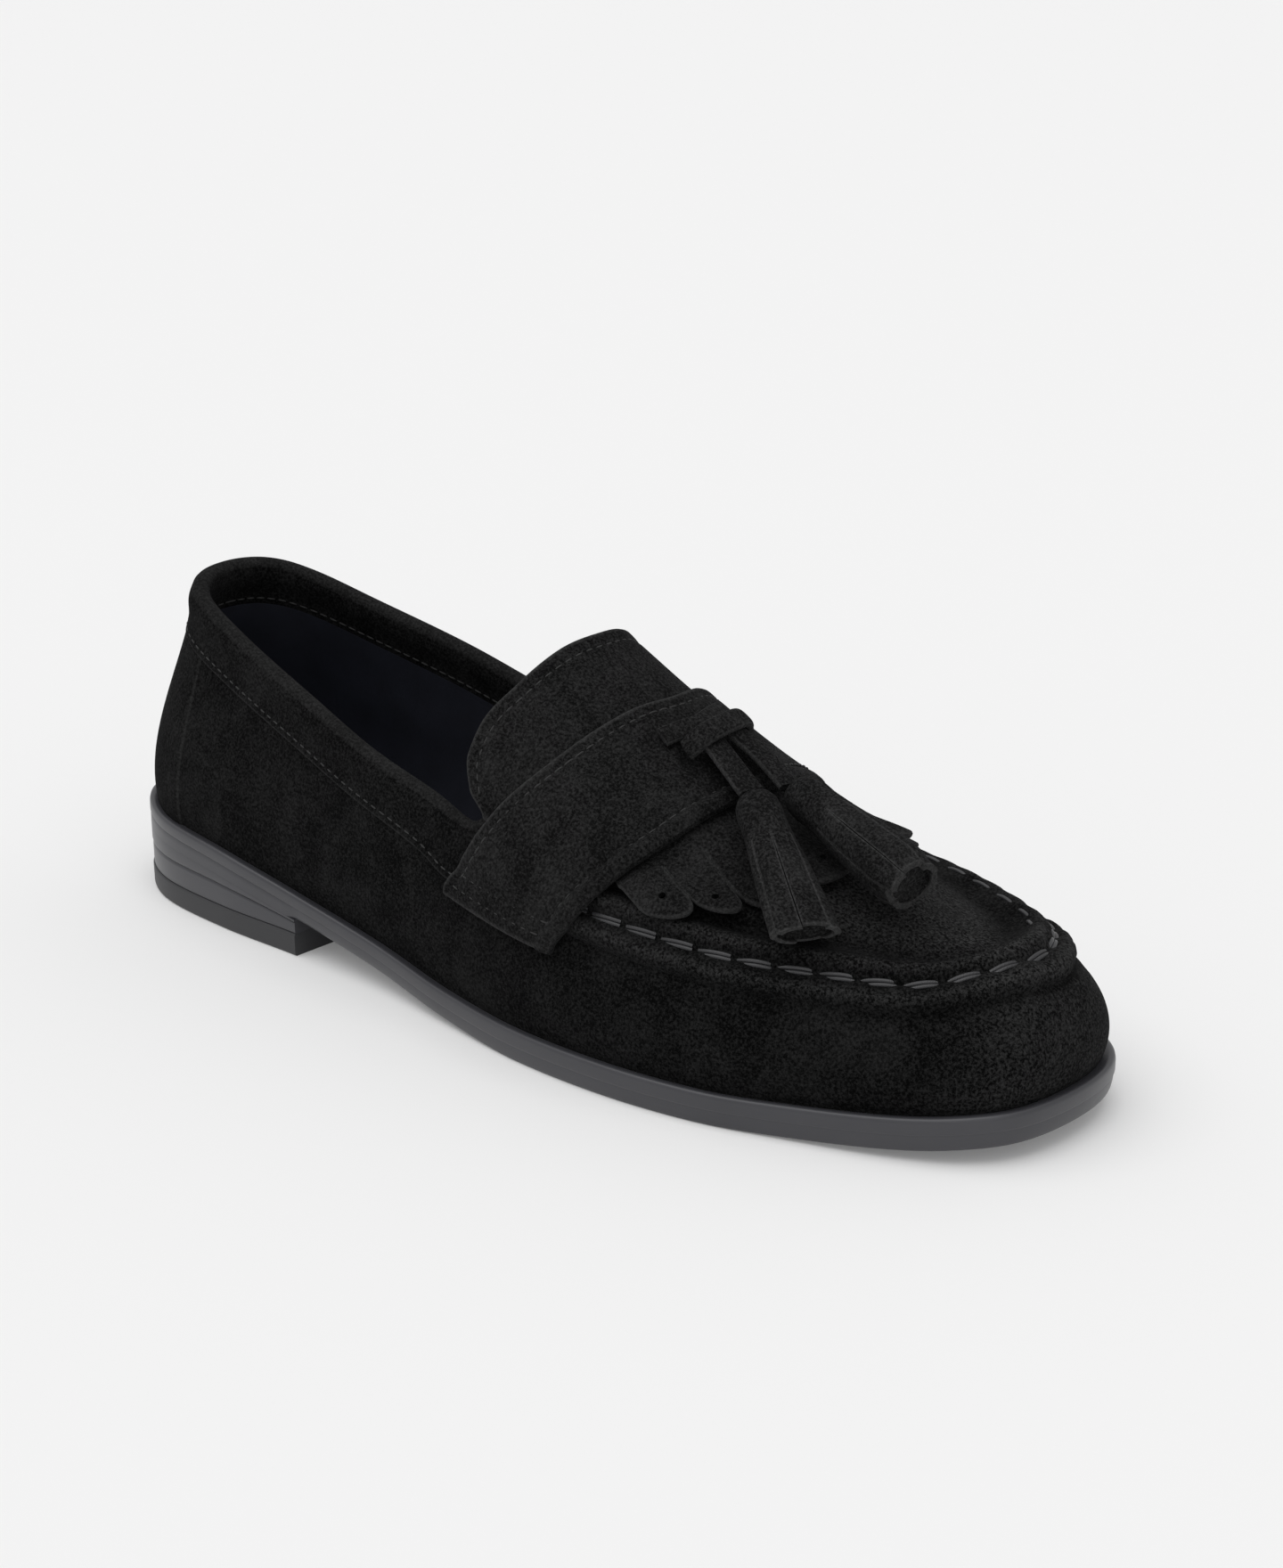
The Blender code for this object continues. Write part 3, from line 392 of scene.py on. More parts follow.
def skin(points, faces, low, high, rim=0.8 * MM, steps=4, line=0.0, nap_and_painted_light=0.0):
    """A wall between two offsets of a surface with a rounded rim. Returns points, faces, point values and kind: the
    values are the pale cut edge and the painted highlight, and kind is 0 on the outside, 1 on the inside and 2 on the
    rim."""
    line, nap_and_painted_light = np.broadcast_to(line, low.shape), np.broadcast_to(nap_and_painted_light, low.shape)
    points, faces, low, high, line, nap_and_painted_light = weld(points, faces, low, high, line, nap_and_painted_light)
    normals = normals_of(points, faces)
    count = len(points)
    pairs = np.concatenate([faces[:, [i, (i + 1) % 4]] for i in range(4)])
    pairs = pairs[pairs[:, 0] != pairs[:, 1]]
    alone = pairs[~np.isin(pairs[:, 0] * count + pairs[:, 1], pairs[:, 1] * count + pairs[:, 0])]
    border = np.unique(alone)
    out = np.zeros_like(points)
    along = unit(points[alone[:, 1]] - points[alone[:, 0]])
    for k in (0, 1):
        np.add.at(out, alone[:, k], np.cross(along, normals[alone[:, k]]))
    out = unit(out[border])
    top, bottom = points + normals * high[:, None], points + normals * low[:, None]
    middle = (top[border] + bottom[border]) / 2.0
    half = (top[border] - bottom[border]) / 2.0
    rings = [border]
    extra = []
    for k in range(1, steps):
        angle = math.pi * (0.5 - k / steps)
        rings.append(2 * count + len(border) * (k - 1) + np.arange(len(border)))
        extra.append(middle + half * math.sin(angle) + out * rim * math.cos(angle))
    rings.append(border + count)
    place = np.empty(count, dtype=int)
    place[border] = np.arange(len(border))
    a, b = place[alone[:, 0]], place[alone[:, 1]]
    walls = [np.stack([rings[k][b], rings[k][a], rings[k + 1][a], rings[k + 1][b]], axis=1)
             for k in range(steps)]
    edge = np.concatenate([line, 0.0 * line, np.ones(len(border) * (steps - 1))])
    edge[border] = np.maximum(edge[border], 0.6)
    edge[border + count] = 0.6
    cut_edge_and_painted_light = np.stack([edge, np.concatenate([nap_and_painted_light, nap_and_painted_light] + [nap_and_painted_light[border]] * (steps - 1))], axis=1)
    kinds = np.concatenate([np.zeros(len(faces)), np.ones(len(faces)), np.full(len(alone) * steps, 2)])
    return (np.concatenate([top, bottom] + extra), np.concatenate([faces, faces[:, ::-1] + count] + walls),
            cut_edge_and_painted_light, kinds)


print("skin tools ready")

# %% [markdown]
# ## Suede
# Suede is the flesh side of leather, sanded to a short nap. It has no gloss of its own: each fibre scatters
# # light, so it looks darkest head-on and a little paler at a grazing angle, and stroked patches differ in
# # tone. A rough base with sheen gives the grazing light, a fine noise the fibres (0.3 mm), and a coarse
# # noise the stroked patches (about 12 mm). Cut edges show the paler core of the hide. Where a piece carries
# # an attribute of painted light, the suede is also painted paler there, a painted highlight on faces that catch the
# light.

# %% Suede material


def mix(tree, share, first, second):
    """A colour between two colours."""
    blend = tree.nodes.new("ShaderNodeMix")
    blend.data_type = "RGBA"
    for index, value in ((0, share), (6, first), (7, second)):
        if isinstance(value, bpy.types.NodeSocket):
            tree.links.new(value, blend.inputs[index])
        else:
            blend.inputs[index].default_value = value
    return blend.outputs[2]


def suede(name, dark, pale, edge_colour, patch=0.42, nap_and_painted_light=0.7):
    """Dyed suede of two close tones, paler along a cut edge, and painted towards a pale grey where the mesh's attribute
    of painted highlight is high.
    """
    material, tree, shader, place = new_material(name)
    fibres = add(tree, "ShaderNodeTexNoise", {"Vector": place, "Scale": 1700.0, "Detail": 3.0, "Roughness": 0.75})
    patches = add(tree, "ShaderNodeTexNoise", {"Vector": place, "Scale": 75.0, "Detail": 3.0, "Roughness": 0.6,
                                               "Distortion": 0.6})
    spread = add(tree, "ShaderNodeMapRange", {"Value": fibres.outputs["Fac"], "From Min": 0.40, "From Max": 0.68})
    stroke = add(tree, "ShaderNodeMapRange", {"Value": patches.outputs["Fac"], "From Min": 0.36,
                                              "From Max": 0.68, "To Min": -patch / 2, "To Max": patch / 2})
    painted_light_attribute = add(tree, "ShaderNodeAttribute", attribute_name="nap_and_painted_light")
    tone = add(tree, "ShaderNodeMath", {0: spread.outputs["Result"], 1: stroke.outputs["Result"]}, operation="ADD",
               use_clamp=True)
    painted_highlight_share = add(tree, "ShaderNodeMath", {0: spread.outputs["Result"], 1: painted_light_attribute.outputs["Fac"]},
                  operation="MULTIPLY")
    # Painted highlight: the colour turns towards pale grey 4C4C4C where the painted-light attribute is high.
    body = mix(tree, painted_highlight_share.outputs[0], mix(tree, tone.outputs[0], linear(dark), linear(pale)), linear("4C4C4C"))
    rim = add(tree, "ShaderNodeAttribute", attribute_name="edge")
    worn = add(tree, "ShaderNodeMath", {0: rim.outputs["Fac"], 1: fibres.outputs["Fac"]}, operation="MULTIPLY")
    colour = mix(tree, worn.outputs[0], body, linear(edge_colour))
    bump = add(tree, "ShaderNodeBump", {"Height": fibres.outputs["Fac"], "Strength": nap_and_painted_light, "Distance": 0.3 * MM})
    tree.links.new(colour, shader.inputs["Base Color"])
    tree.links.new(bump.outputs["Normal"], shader.inputs["Normal"])
    shader.inputs["Roughness"].default_value = 1.0
    shader.inputs["Specular IOR Level"].default_value = 0.03
    shader.inputs["Sheen Weight"].default_value = 0.02
    shader.inputs["Sheen Roughness"].default_value = 0.5
    shader.inputs["Sheen Tint"].default_value = linear("C8C8CC")
    return material


UPPER_SUEDE = suede("black_suede_upper", "050505", "242424", "3E3E3E")
# The trim and tassel suedes are paler copies of the upper's suede. Their extra tone is painted light, standing in for
# the stronger light on the top of the instep, where the strap, tongue, fringe, lace and tassels lie.
TRIM_SUEDE_PAINTED_PALER = suede("black_suede_trim_painted_paler", "0C0C0C", "2D2D2D", "434343")
TASSEL_SUEDE_PAINTED_PALER = suede("black_suede_tassel_painted_paler", "0F0F0F", "323232", "4A4A4A")
print("suede made")

# %% [markdown]
# ## Upper
# Vamp, quarters and apron are one closed skin over the last. Its relief holds what is sewn there: the
# collar band with its step, the back strap, and the two rolls of the moc seam with a groove between them.
# The thread pulls the rolls in at each stitch, which makes the small scallops. A few soft troughs
# # are where this leather has been handled.

# %% Relief of the upper
SEAM_PITCH = 7.73 * MM
GROOVE = 0.39
# How far along the seam from the toe, in pitches, the rolls are pinched and the stitches lie
PINCH_PLACE, STITCH_PLACE = 0.17, 0.67
# across the roll, and height, as shares of the roll's width and height
ROLL = np.array((
    (-0.42, 0.00), (-0.35, -0.12), (-0.27, -0.24), (-0.23, 0.12), (-0.18, 0.55), (-0.08, 0.86), (0.04, 0.98),
    (0.14, 0.98), (0.24, 0.90), (0.32, 0.72), (0.36, 0.58), (0.39, 0.52), (0.42, 0.58), (0.47, 0.74),
    (0.56, 0.92), (0.68, 1.00), (0.80, 0.98), (0.90, 0.80), (0.97, 0.50), (1.03, 0.20), (1.10, 0.04), (1.20, 0.0)))
# How deep the plug lies beside the inner roll on the lateral and the medial side
PLUG_DEPTH = {-1: 2.0 * MM, 1: 2.4 * MM}
# The topline is padded, and faced with suede this far down inside
TOPLINE_PAD, INNER_BAND = 0.9 * MM, 9.0 * MM
# Troughs: from (section, across) to (section, across), depth and half width in millimetres
TROUGHS = (
    (2.9, -0.62, 4.6, -0.70, 0.45, 5.0), (4.9, -0.80, 6.3, -0.86, 0.40, 5.0), (6.6, -0.84, 7.3, -0.76, 0.35, 4.0),
    (8.2, -0.88, 9.1, -0.76, 0.30, 5.0), (5.2, 0.80, 6.6, 0.70, 0.45, 6.0), (7.0, 0.86, 8.4, 0.76, 0.35, 5.0),
    (11.4, -0.70, 12.2, -0.86, 0.22, 5.0), (2.6, 0.66, 4.2, 0.62, 0.40, 6.0))


def wall_frame(section, side):
    """How far the wall at sections has turned from the quarters behind to the closed last ahead, and how far up the
    closed last it climbs.
    """
    blend = ease(section, COLLAR_END - 1.0, COLLAR_END)
    reach = 0.40 + 0.60 * ease(section, 6.05, 7.45)
    return blend, reach


def wall_at(section, side, distance):
    """Points of the wall at distances up from the feather, and the wall's own height there."""
    section, distance = np.broadcast_arrays(np.asarray(section, dtype=float), np.asarray(distance, dtype=float))
    side = np.full(section.shape, float(side))
    blend, reach = wall_frame(section, side)
    _, quarter = curve_at(collar_handles(section, side), np.zeros(section.shape))
    _, whole = curve_at(closed_handles(section, side), np.zeros(section.shape))
    height = quarter * (1.0 - blend) + whole * reach * blend
    share = np.clip(distance / height, 0.0, 1.0)
    behind, _ = curve_at(collar_handles(section, side), share)
    ahead, _ = curve_at(closed_handles(section, side), share * reach)
    return behind * (1.0 - blend[..., None]) + ahead * blend[..., None], height, whole


def seam_path(section, side):
    """How far up the wall the seam or the band's lower edge runs."""
    _, height, whole = wall_at(section, side, 0.0)
    ahead = ease(section, COLLAR_END - 1.0, COLLAR_END)
    return (height - BAND_WIDTH) * (1.0 - ahead) + read(RIDGE, section - RIDGE_START)[..., 5] * whole * ahead


def on_wall(section, side, across, height=0.0):
    """Points near the seam or band edge, across it in roll widths, and the way out there."""
    section = np.asarray(section, dtype=float)
    path = seam_path(section, side) + across * ROLL_WIDTH
    ahead = wall_at(np.minimum(section + 0.02, TOE), side, path)[0] - wall_at(section - 0.02, side, path)[0]
    climb = wall_at(section, side, path + 0.5 * MM)[0] - wall_at(section, side, path - 0.5 * MM)[0]
    out = unit(np.cross(ahead, climb)) * -side
    return wall_at(section, side, path)[0] + out * np.asarray(height)[..., None], out


def seam_run(sections, side):
    """Length along the groove from the toe to each section."""
    fine = np.linspace(TOE, 6.0, 400)
    line = on_wall(fine, side, GROOVE)[0]
    run = np.concatenate([[0.0], np.cumsum(np.linalg.norm(np.diff(line, axis=0), axis=1))])
    return np.interp(-np.asarray(sections), -fine, run)


def back_strap_section():
    """The section at which the back strap's side seam runs."""
    behind = np.linspace(0.0, 4.0, 81)
    spread = abs(feather(behind, -1)[0][:, 1] - CENTRE_SHIFT)
    return float(np.interp(BACK_STRAP_REACH, spread, behind))


STRAP_SEAM = back_strap_section()
print("back strap seam at section", round(STRAP_SEAM, 2), "- seam length", round(float(seam_run(7.3, -1)) / MM), "mm")

# %% Upper's mesh


def upper_side(sections, side):
    """Points and relief of one side of the upper, section by section."""
    k = sections[:, None]
    path = seam_path(k, side)
    _, wall, _ = wall_at(k, side, 0.0)
    across = np.concatenate([np.linspace(-0.44, -0.10, 10), np.linspace(-0.07, 0.11, 9),
                             np.linspace(0.15, 1.35, 33)])[None, :]
    roll_start = path + across[:, :1] * ROLL_WIDTH
    low = roll_start * np.linspace(0.0, 1.0, 27)[None, :-1]
    rolls = np.minimum(path + across * ROLL_WIDTH, wall)
    high = rolls[:, -1:] + (wall - rolls[:, -1:]) * np.linspace(0.0, 1.0, 21)[None, 1:]
    distance = np.concatenate([low, rolls, high], axis=1)
    u = (distance - path) / ROLL_WIDTH
    points, _, _ = wall_at(k, side, distance)
    rise, fall = ease(k, 6.6, 7.7), 1.0 - ease(k, 6.05, 6.35)
    turns = -side * seam_run(sections, side) / SEAM_PITCH - PINCH_PLACE
    scallop = (0.5 + 0.5 * np.cos(2.0 * math.pi * turns)[:, None])**1.6
    near = np.exp(-((u - GROOVE) / 0.32)**2)
    roll = np.interp(u, ROLL[:, 0], ROLL[:, 1]) * ROLL_HEIGHT - near * scallop * 0.75 * MM
    gather = np.exp(-((u + 0.55) / 0.35)**2) * (0.5 - scallop) * 0.24 * MM
    plug_depth = PLUG_DEPTH[side] + (PLUG_DEPTH[-1] - PLUG_DEPTH[side]) * ease(k, 12.0, TOE)
    plug = plug_depth * ease(u, 0.95, 1.5) * (1.0 - ease(u, 2.2, 4.2)) * ease(k, 8.8, 10.4)
    relief = BAND_STEP * ease(u, -0.05, 0.04) * fall + (roll + gather - plug) * rise
    back = BACK_STRAP_STEP * (1.0 - ease(k, STRAP_SEAM - 0.02, STRAP_SEAM + 0.012))
    relief = np.where(u < -0.02, np.maximum(relief, back), relief)
    band_line = np.exp(-((u - 0.02) / 0.035)**2) * fall
    strap_line = np.exp(-((k - STRAP_SEAM) / 0.012)**2) * (u < -0.02)
    line = 2.2 * np.maximum(band_line, strap_line)
    # Painted light: the plug and the toe front, which face up, and the tops of both rolls are painted paler as a
    # painted highlight. The crease under the outer roll is kept out of it, so it stays dark as painted shade.
    nap_and_painted_light = 0.42 * rise * ease(u, 1.2, 2.2) + 0.24 * ease(k, 11.0, 12.8) * (1.0 - np.exp(-((u + 0.32) / 0.12)**2))
    nap_and_painted_light = nap_and_painted_light + 0.30 * rise * (np.exp(-((u - 0.04) / 0.13)**2) + np.exp(-((u - 0.76) / 0.14)**2))
    facing = (wall - distance < INNER_BAND) & (k < COLLAR_END)
    pad = TOPLINE_PAD * np.exp(-((wall - distance - 2.2 * MM) / (3.0 * MM))**2) * (1.0 - ease(k, 5.2, 6.2))
    return points, relief + pad, line, nap_and_painted_light, facing.astype(float), pad


def troughs(points, side):
    """How deep the listed troughs are at points of one side."""
    depth = np.zeros(points.shape[:-1])
    for k0, a0, k1, a1, deep, wide in TROUGHS:
        if a0 * side < 0.0:
            continue
        a, b = bare_last(max(k0, 4.0), a0), bare_last(max(k1, 4.0), a1)
        if k0 < 4.0:
            a = wall_at(k0, side, (1.0 - abs(a0)) * 60 * MM)[0]
            b = wall_at(k1, side, (1.0 - abs(a1)) * 60 * MM)[0]
        t = np.clip(((points - a) @ (b - a)) / ((b - a) @ (b - a)), 0.0, 1.0)
        off = np.linalg.norm(points - (a + t[..., None] * (b - a)), axis=-1)
        depth += deep * MM * np.exp(-(off / (wide * MM))**2) * (0.6 + 0.4 * np.sin(math.pi * t))
    return depth


def upper_mesh(materials):
    """The whole upper, outside, rim and inside."""
    edge = STRAP_SEAM
    sections = np.sort(np.concatenate([np.linspace(0.0, TOE, 231), edge + np.linspace(-0.03, 0.02, 6)]))
    sides = []
    for side in (-1, 1):
        points, relief, line, nap_and_painted_light, facing, pad = upper_side(sections, side)
        sides.append((points, relief - troughs(points, side), line, nap_and_painted_light, facing, pad))
    points, relief, line, nap_and_painted_light, facing, pad = (np.concatenate([a, b[-2:0:-1]]) for a, b in zip(*sides))
    rows, columns = relief.shape
    faces = grid_faces(rows, columns, wrap=True)
    _, place = np.unique(np.round(points.reshape(-1, 3), 6), axis=0, return_inverse=True)
    corners = np.sort(place.reshape(-1)[faces], axis=1)
    faces = faces[(np.diff(corners, axis=1) > 0).sum(axis=1) > 1]
    relief = relief.reshape(-1)
    low = np.minimum(relief, 0.0) - WALL - 0.8 * pad.reshape(-1)
    made, sides, cut_edge_and_painted_light, kinds = skin(points.reshape(-1, 3), faces, low, relief, rim=1.7 * MM, steps=8,
                                    line=line.reshape(-1), nap_and_painted_light=nap_and_painted_light.reshape(-1))
    lined = kinds == 1
    lined[len(faces):2 * len(faces)] &= facing.reshape(-1)[faces].mean(axis=1) < 0.5
    return make_mesh("upper_skin", made, sides, materials, cut_edge_and_painted_light * (0.35, 1.0), np.where(lined, 1, 0))


def lining_leather():
    """Dark navy lining leather, drum-dyed and lightly finished: smooth, with a fine grain of 0.6 mm."""
    material, tree, shader, place = new_material("navy_lining_leather")
    grain = add(tree, "ShaderNodeTexVoronoi", {"Vector": place, "Scale": 1500.0})
    cloud = add(tree, "ShaderNodeTexNoise", {"Vector": place, "Scale": 110.0, "Detail": 3.0})
    colour = mix(tree, cloud.outputs["Fac"], linear("15161C"), linear("242630"))
    bump = add(tree, "ShaderNodeBump", {"Height": grain.outputs["Distance"], "Strength": 0.12, "Distance": 0.1 * MM})
    tree.links.new(colour, shader.inputs["Base Color"])
    tree.links.new(bump.outputs["Normal"], shader.inputs["Normal"])
    shader.inputs["Roughness"].default_value = 0.55
    shader.inputs["Specular IOR Level"].default_value = 0.35
    return material


LINING = lining_leather()
upper = finish_piece(link_piece("upper_skin", upper_mesh([UPPER_SUEDE, LINING])), ["upper"])
print("upper:", len(upper.data.polygons), "faces")

# %% [markdown]
# ## Tongue, strap and fringe
# These are cut sheets laid over the instep, one on the other. Each takes its outline from a small table of
# edges, and its height from what lies below it. The strap's front edge is turned under and stitched, so it
# stands up as a soft roll; its back edge and its ends are cut and stitched flat.

# %% Strap and tongue
# share of the way up from the feather, back edge and front edge as sections
STRAP_EDGES = np.array(((0.240, 6.03, 7.36), (0.340, 6.27, 7.55), (0.450, 6.45, 7.75), (0.600, 6.70, 8.01),
                        (0.750, 6.90, 8.17), (0.880, 7.02, 8.27), (1.000, 7.10, 8.33)))
STRAP_HEIGHT = np.array(((0.24, 0.5), (0.27, 1.1), (0.31, 1.6), (0.35, 2.8), (0.44, 3.2), (0.54, 3.2),
                         (0.64, 2.7), (1.00, 2.6)))
TONGUE_EDGES = np.array(((0.455, 6.32, 6.75), (0.490, 6.10, 6.90), (0.560, 5.96, 7.05), (0.620, 5.97, 7.15),
                         (0.750, 6.12, 7.30), (0.880, 6.23, 7.40), (1.000, 6.30, 7.45)))


# Sections stand this many millimetres apart over the instep
SECTION_STEP = 23.5


def smooth_between(table, column, place):
    """A table's column at places of its first column, by a smooth curve."""
    return read(table, np.interp(place, table[:, 0], np.arange(len(table))))[..., column]


def sheet_grid(edges, across, steps):
    """Points over the last between a table's back and front edges, with the share from back to front."""
    up = 1.0 - abs(across)
    back, front = smooth_between(edges, 1, up)[:, None], smooth_between(edges, 2, up)[:, None]
    t = np.linspace(0.0, 1.0, steps + 1)[None, :]
    section = back + (front - back) * t
    points, _ = over(section, np.broadcast_to(across[:, None], section.shape))
    return points, t, front - back


def strap_height(up):
    """How high the strap's underside runs over the last."""
    return smooth_between(STRAP_HEIGHT, 1, up) * MM


def strap_mesh(materials):
    """The saddle strap with its turned front edge and its stitched ends."""
    across = np.linspace(-0.755, 0.755, 221)
    points, t, depth = sheet_grid(STRAP_EDGES, across, 60)
    settled = ease(across, 0.04, 0.22)[:, None]
    low = strap_height(1.0 - abs(across))[:, None] - 0.6 * MM * settled * t
    front = (1.0 - t) * depth * SECTION_STEP
    back = t * depth * SECTION_STEP
    end = (abs(across[:, None]) * -1.0 + 0.755) * 75.0
    thick = 1.9 + (1.0 - 0.8 * settled) * np.exp(-((front - 1.7) / 1.5)**2) - 0.40 * np.exp(-((front - 4.0) / 0.6)**2)
    thick = thick - 0.28 * np.exp(-((back - 1.9) / 0.5)**2) - 0.25 * np.exp(-((end - 2.2) / 0.5)**2)
    thick = thick - 0.18 * np.exp(-((end - 5.0) / 0.5)**2)
    wave = 0.25 * np.sin(across[:, None] * 9.0 + 1.0) * np.sin(math.pi * t) + 0.15 * np.sin(across[:, None] * 23.0)
    high = low + (thick + wave * 0.5) * MM
    faces = grid_faces(len(across), points.shape[1])[:, ::-1]
    made, sides, cut_edge_and_painted_light, _ = skin(points.reshape(-1, 3), faces, low.reshape(-1), high.reshape(-1), rim=0.7 * MM)
    front_edge = over(smooth_between(STRAP_EDGES, 2, 1.0 - abs(across)), across, high[:, -1])[0]
    away = np.min([np.linalg.norm(made - spot, axis=1) for spot in front_edge], axis=0)
    cut_edge_and_painted_light[:, 0] *= ease(away, 2.5 * MM, 4.0 * MM)
    return make_mesh("strap_skin", made, sides, materials, cut_edge_and_painted_light)


def tongue_mesh(materials):
    """The tongue: its back edge stands free and is a little thicker where it is folded and sewn."""
    across = np.linspace(-0.545, 0.545, 171)
    points, t, depth = sheet_grid(TONGUE_EDGES, across, 50)
    back = t * depth * SECTION_STEP
    low = np.full(points.shape[:2], 0.5 * MM)
    thick = 1.9 + 0.25 * np.exp(-(back / 1.5)**2) - 0.25 * np.exp(-((back - 2.3) / 0.5)**2)
    high = low + thick * MM
    faces = grid_faces(len(across), points.shape[1])[:, ::-1]
    made, sides, edges, kinds = skin(points.reshape(-1, 3), faces, low.reshape(-1), high.reshape(-1), rim=0.7 * MM)
    return make_mesh("tongue_skin", made, sides, materials, edges, np.where(kinds == 1, 1, 0))


strap = finish_piece(link_piece("strap_skin", strap_mesh([TRIM_SUEDE_PAINTED_PALER])), ["saddle_strap"])
tongue = finish_piece(link_piece("tongue_skin", tongue_mesh([TRIM_SUEDE_PAINTED_PALER, LINING])), ["tongue"])
print("strap and tongue:", len(strap.data.polygons), len(tongue.data.polygons), "faces")

# %% Fringe
# each strip's edge: section and share of the way up at the strap, then at its tip
FRINGE_EDGES = np.array(((7.60, 0.505, 8.32, 0.420), (7.72, 0.620, 8.78, 0.492), (7.76, 0.760, 9.20, 0.560),
                         (7.78, 0.880, 9.62, 0.700), (7.78, 1.000, 9.90, 1.000)))
FRINGE_HEIGHT = np.array(((0.40, 2.9), (0.52, 2.9), (0.60, 0.8), (1.00, 0.5)))
# Each strip has a punched hole near its tip: section and share of the way up
FRINGE_HOLES = ((8.32, 0.493), (8.78, 0.553), (9.25, 0.706), (9.42, 0.880))
HOLE_WIDTH = 1.5 * MM


def fringe_mesh(materials):
    """The fringe: eight round-ended strips, parted by slits, with their tips lifted a little."""
    rows = np.vstack([FRINGE_EDGES, FRINGE_EDGES[-2::-1]])
    sides = [-1, -1, -1, -1, 1, 1, 1, 1]
    points, low, faces, wide, steps = [], [], [], 24, 44
    for strip, side in enumerate(sides):
        s = np.linspace(0.0, 1.0, wide + 1)[:, None]
        bow = 2.0 * s - 1.0
        t = (1.0 - 0.22 * (1.0 - np.sqrt(1.0 - bow * bow))) * np.linspace(0.0, 1.0, steps + 1)[None, :]
        place = 0.5 + (s - 0.5) * (1.0 - ease(t, 0.40, 0.44) * 0.055)
        edge = rows[strip] * (1.0 - place[..., None]) + rows[strip + 1] * place[..., None]
        section = edge[..., 0] + (edge[..., 2] - edge[..., 0]) * t
        up = np.minimum(edge[..., 1] + (edge[..., 3] - edge[..., 1]) * t, 1.0)
        spot, _ = over(section, (1.0 - up) * side + side * 1e-9)
        out = ease(t, 0.18, 0.48)
        tip = np.interp(up, FRINGE_HEIGHT[:, 0], FRINGE_HEIGHT[:, 1]) * MM
        cup = 0.35 * MM * (bow * bow) * ease(t, 0.45, 0.8)
        faces.append(grid_faces(wide + 1, steps + 1, sum(len(p) for p in points))[:, ::-1])
        points.append(spot.reshape(-1, 3))
        lifted = 0.6 * MM if side < 0 else 0.2 * MM
        low.append((0.6 * MM * (1.0 - out) + tip * out + lifted * ease(t, 0.6, 1.0) - cup).reshape(-1))
    low = np.concatenate(low)
    made, sides, edges, _ = skin(np.concatenate(points), np.concatenate(faces), low, low + 1.4 * MM, rim=0.35 * MM)
    return make_mesh("fringe_skin", made, sides, materials, edges * 0.8)


def run_tree(name, mesh, tree, values):
    """The plain mesh that a tree makes of a mesh. values sets the tree's inputs by name."""
    maker = bpy.data.objects.new(name, mesh)
    bpy.context.scene.collection.objects.link(maker)
    modifier = maker.modifiers.new("maker", "NODES")
    modifier.node_group = tree
    for item in tree.interface.items_tree:
        if item.in_out == "INPUT" and item.name in values:
            modifier[item.identifier] = values[item.name]
    bpy.context.view_layer.update()
    made = bpy.data.meshes.new_from_object(maker.evaluated_get(bpy.context.evaluated_depsgraph_get()))
    maker.modifiers.remove(modifier)
    bpy.data.objects.remove(maker)
    made.name = name
    return made


def punch_tree():
    """Geometry Nodes: holes in a sheet. Loose points of the mesh mark them and hold the way up."""
    tree = bpy.data.node_groups.new("punched_holes", "GeometryNodeTree")
    face = tree.interface
    face.new_socket("Geometry", in_out="INPUT", socket_type="NodeSocketGeometry")
    for name in ("Width", "Depth"):
        face.new_socket(name, in_out="INPUT", socket_type="NodeSocketFloat")
    face.new_socket("Material", in_out="INPUT", socket_type="NodeSocketMaterial")
    face.new_socket("Geometry", in_out="OUTPUT", socket_type="NodeSocketGeometry")
    start = add(tree, "NodeGroupInput").outputs
    marked = add(tree, "GeometryNodeInputNamedAttribute", {"Name": "hole"}, data_type="FLOAT")
    parts = add(tree, "GeometryNodeSeparateGeometry", {"Geometry": start["Geometry"],
                                                       "Selection": marked.outputs["Attribute"]}, domain="POINT")
    radius = add(tree, "ShaderNodeMath", {0: start["Width"], 1: 0.5}, operation="MULTIPLY").outputs[0]
    punch = add(tree, "GeometryNodeMeshCylinder", {"Vertices": 20, "Radius": radius, "Depth": start["Depth"]})
    up = add(tree, "GeometryNodeInputNamedAttribute", {"Name": "up"}, data_type="FLOAT_VECTOR")
    turn = add(tree, "FunctionNodeAlignRotationToVector", {"Vector": up.outputs["Attribute"]}, axis="Z")
    punches = add(tree, "GeometryNodeInstanceOnPoints", {"Points": parts.outputs["Selection"],
                                                         "Instance": punch.outputs["Mesh"],
                                                         "Rotation": turn.outputs["Rotation"]})
    real = add(tree, "GeometryNodeRealizeInstances", {"Geometry": punches.outputs["Instances"]})
    cut = add(tree, "GeometryNodeMeshBoolean", {"Mesh 1": parts.outputs["Inverted"]}, operation="DIFFERENCE",
              solver="EXACT")
    tree.links.new(real.outputs["Geometry"], cut.inputs["Mesh 2"])
    done = add(tree, "GeometryNodeSetMaterial", {"Geometry": cut.outputs["Mesh"], "Material": start["Material"]})
    add(tree, "NodeGroupOutput", {"Geometry": done.outputs["Geometry"]})
    return tree


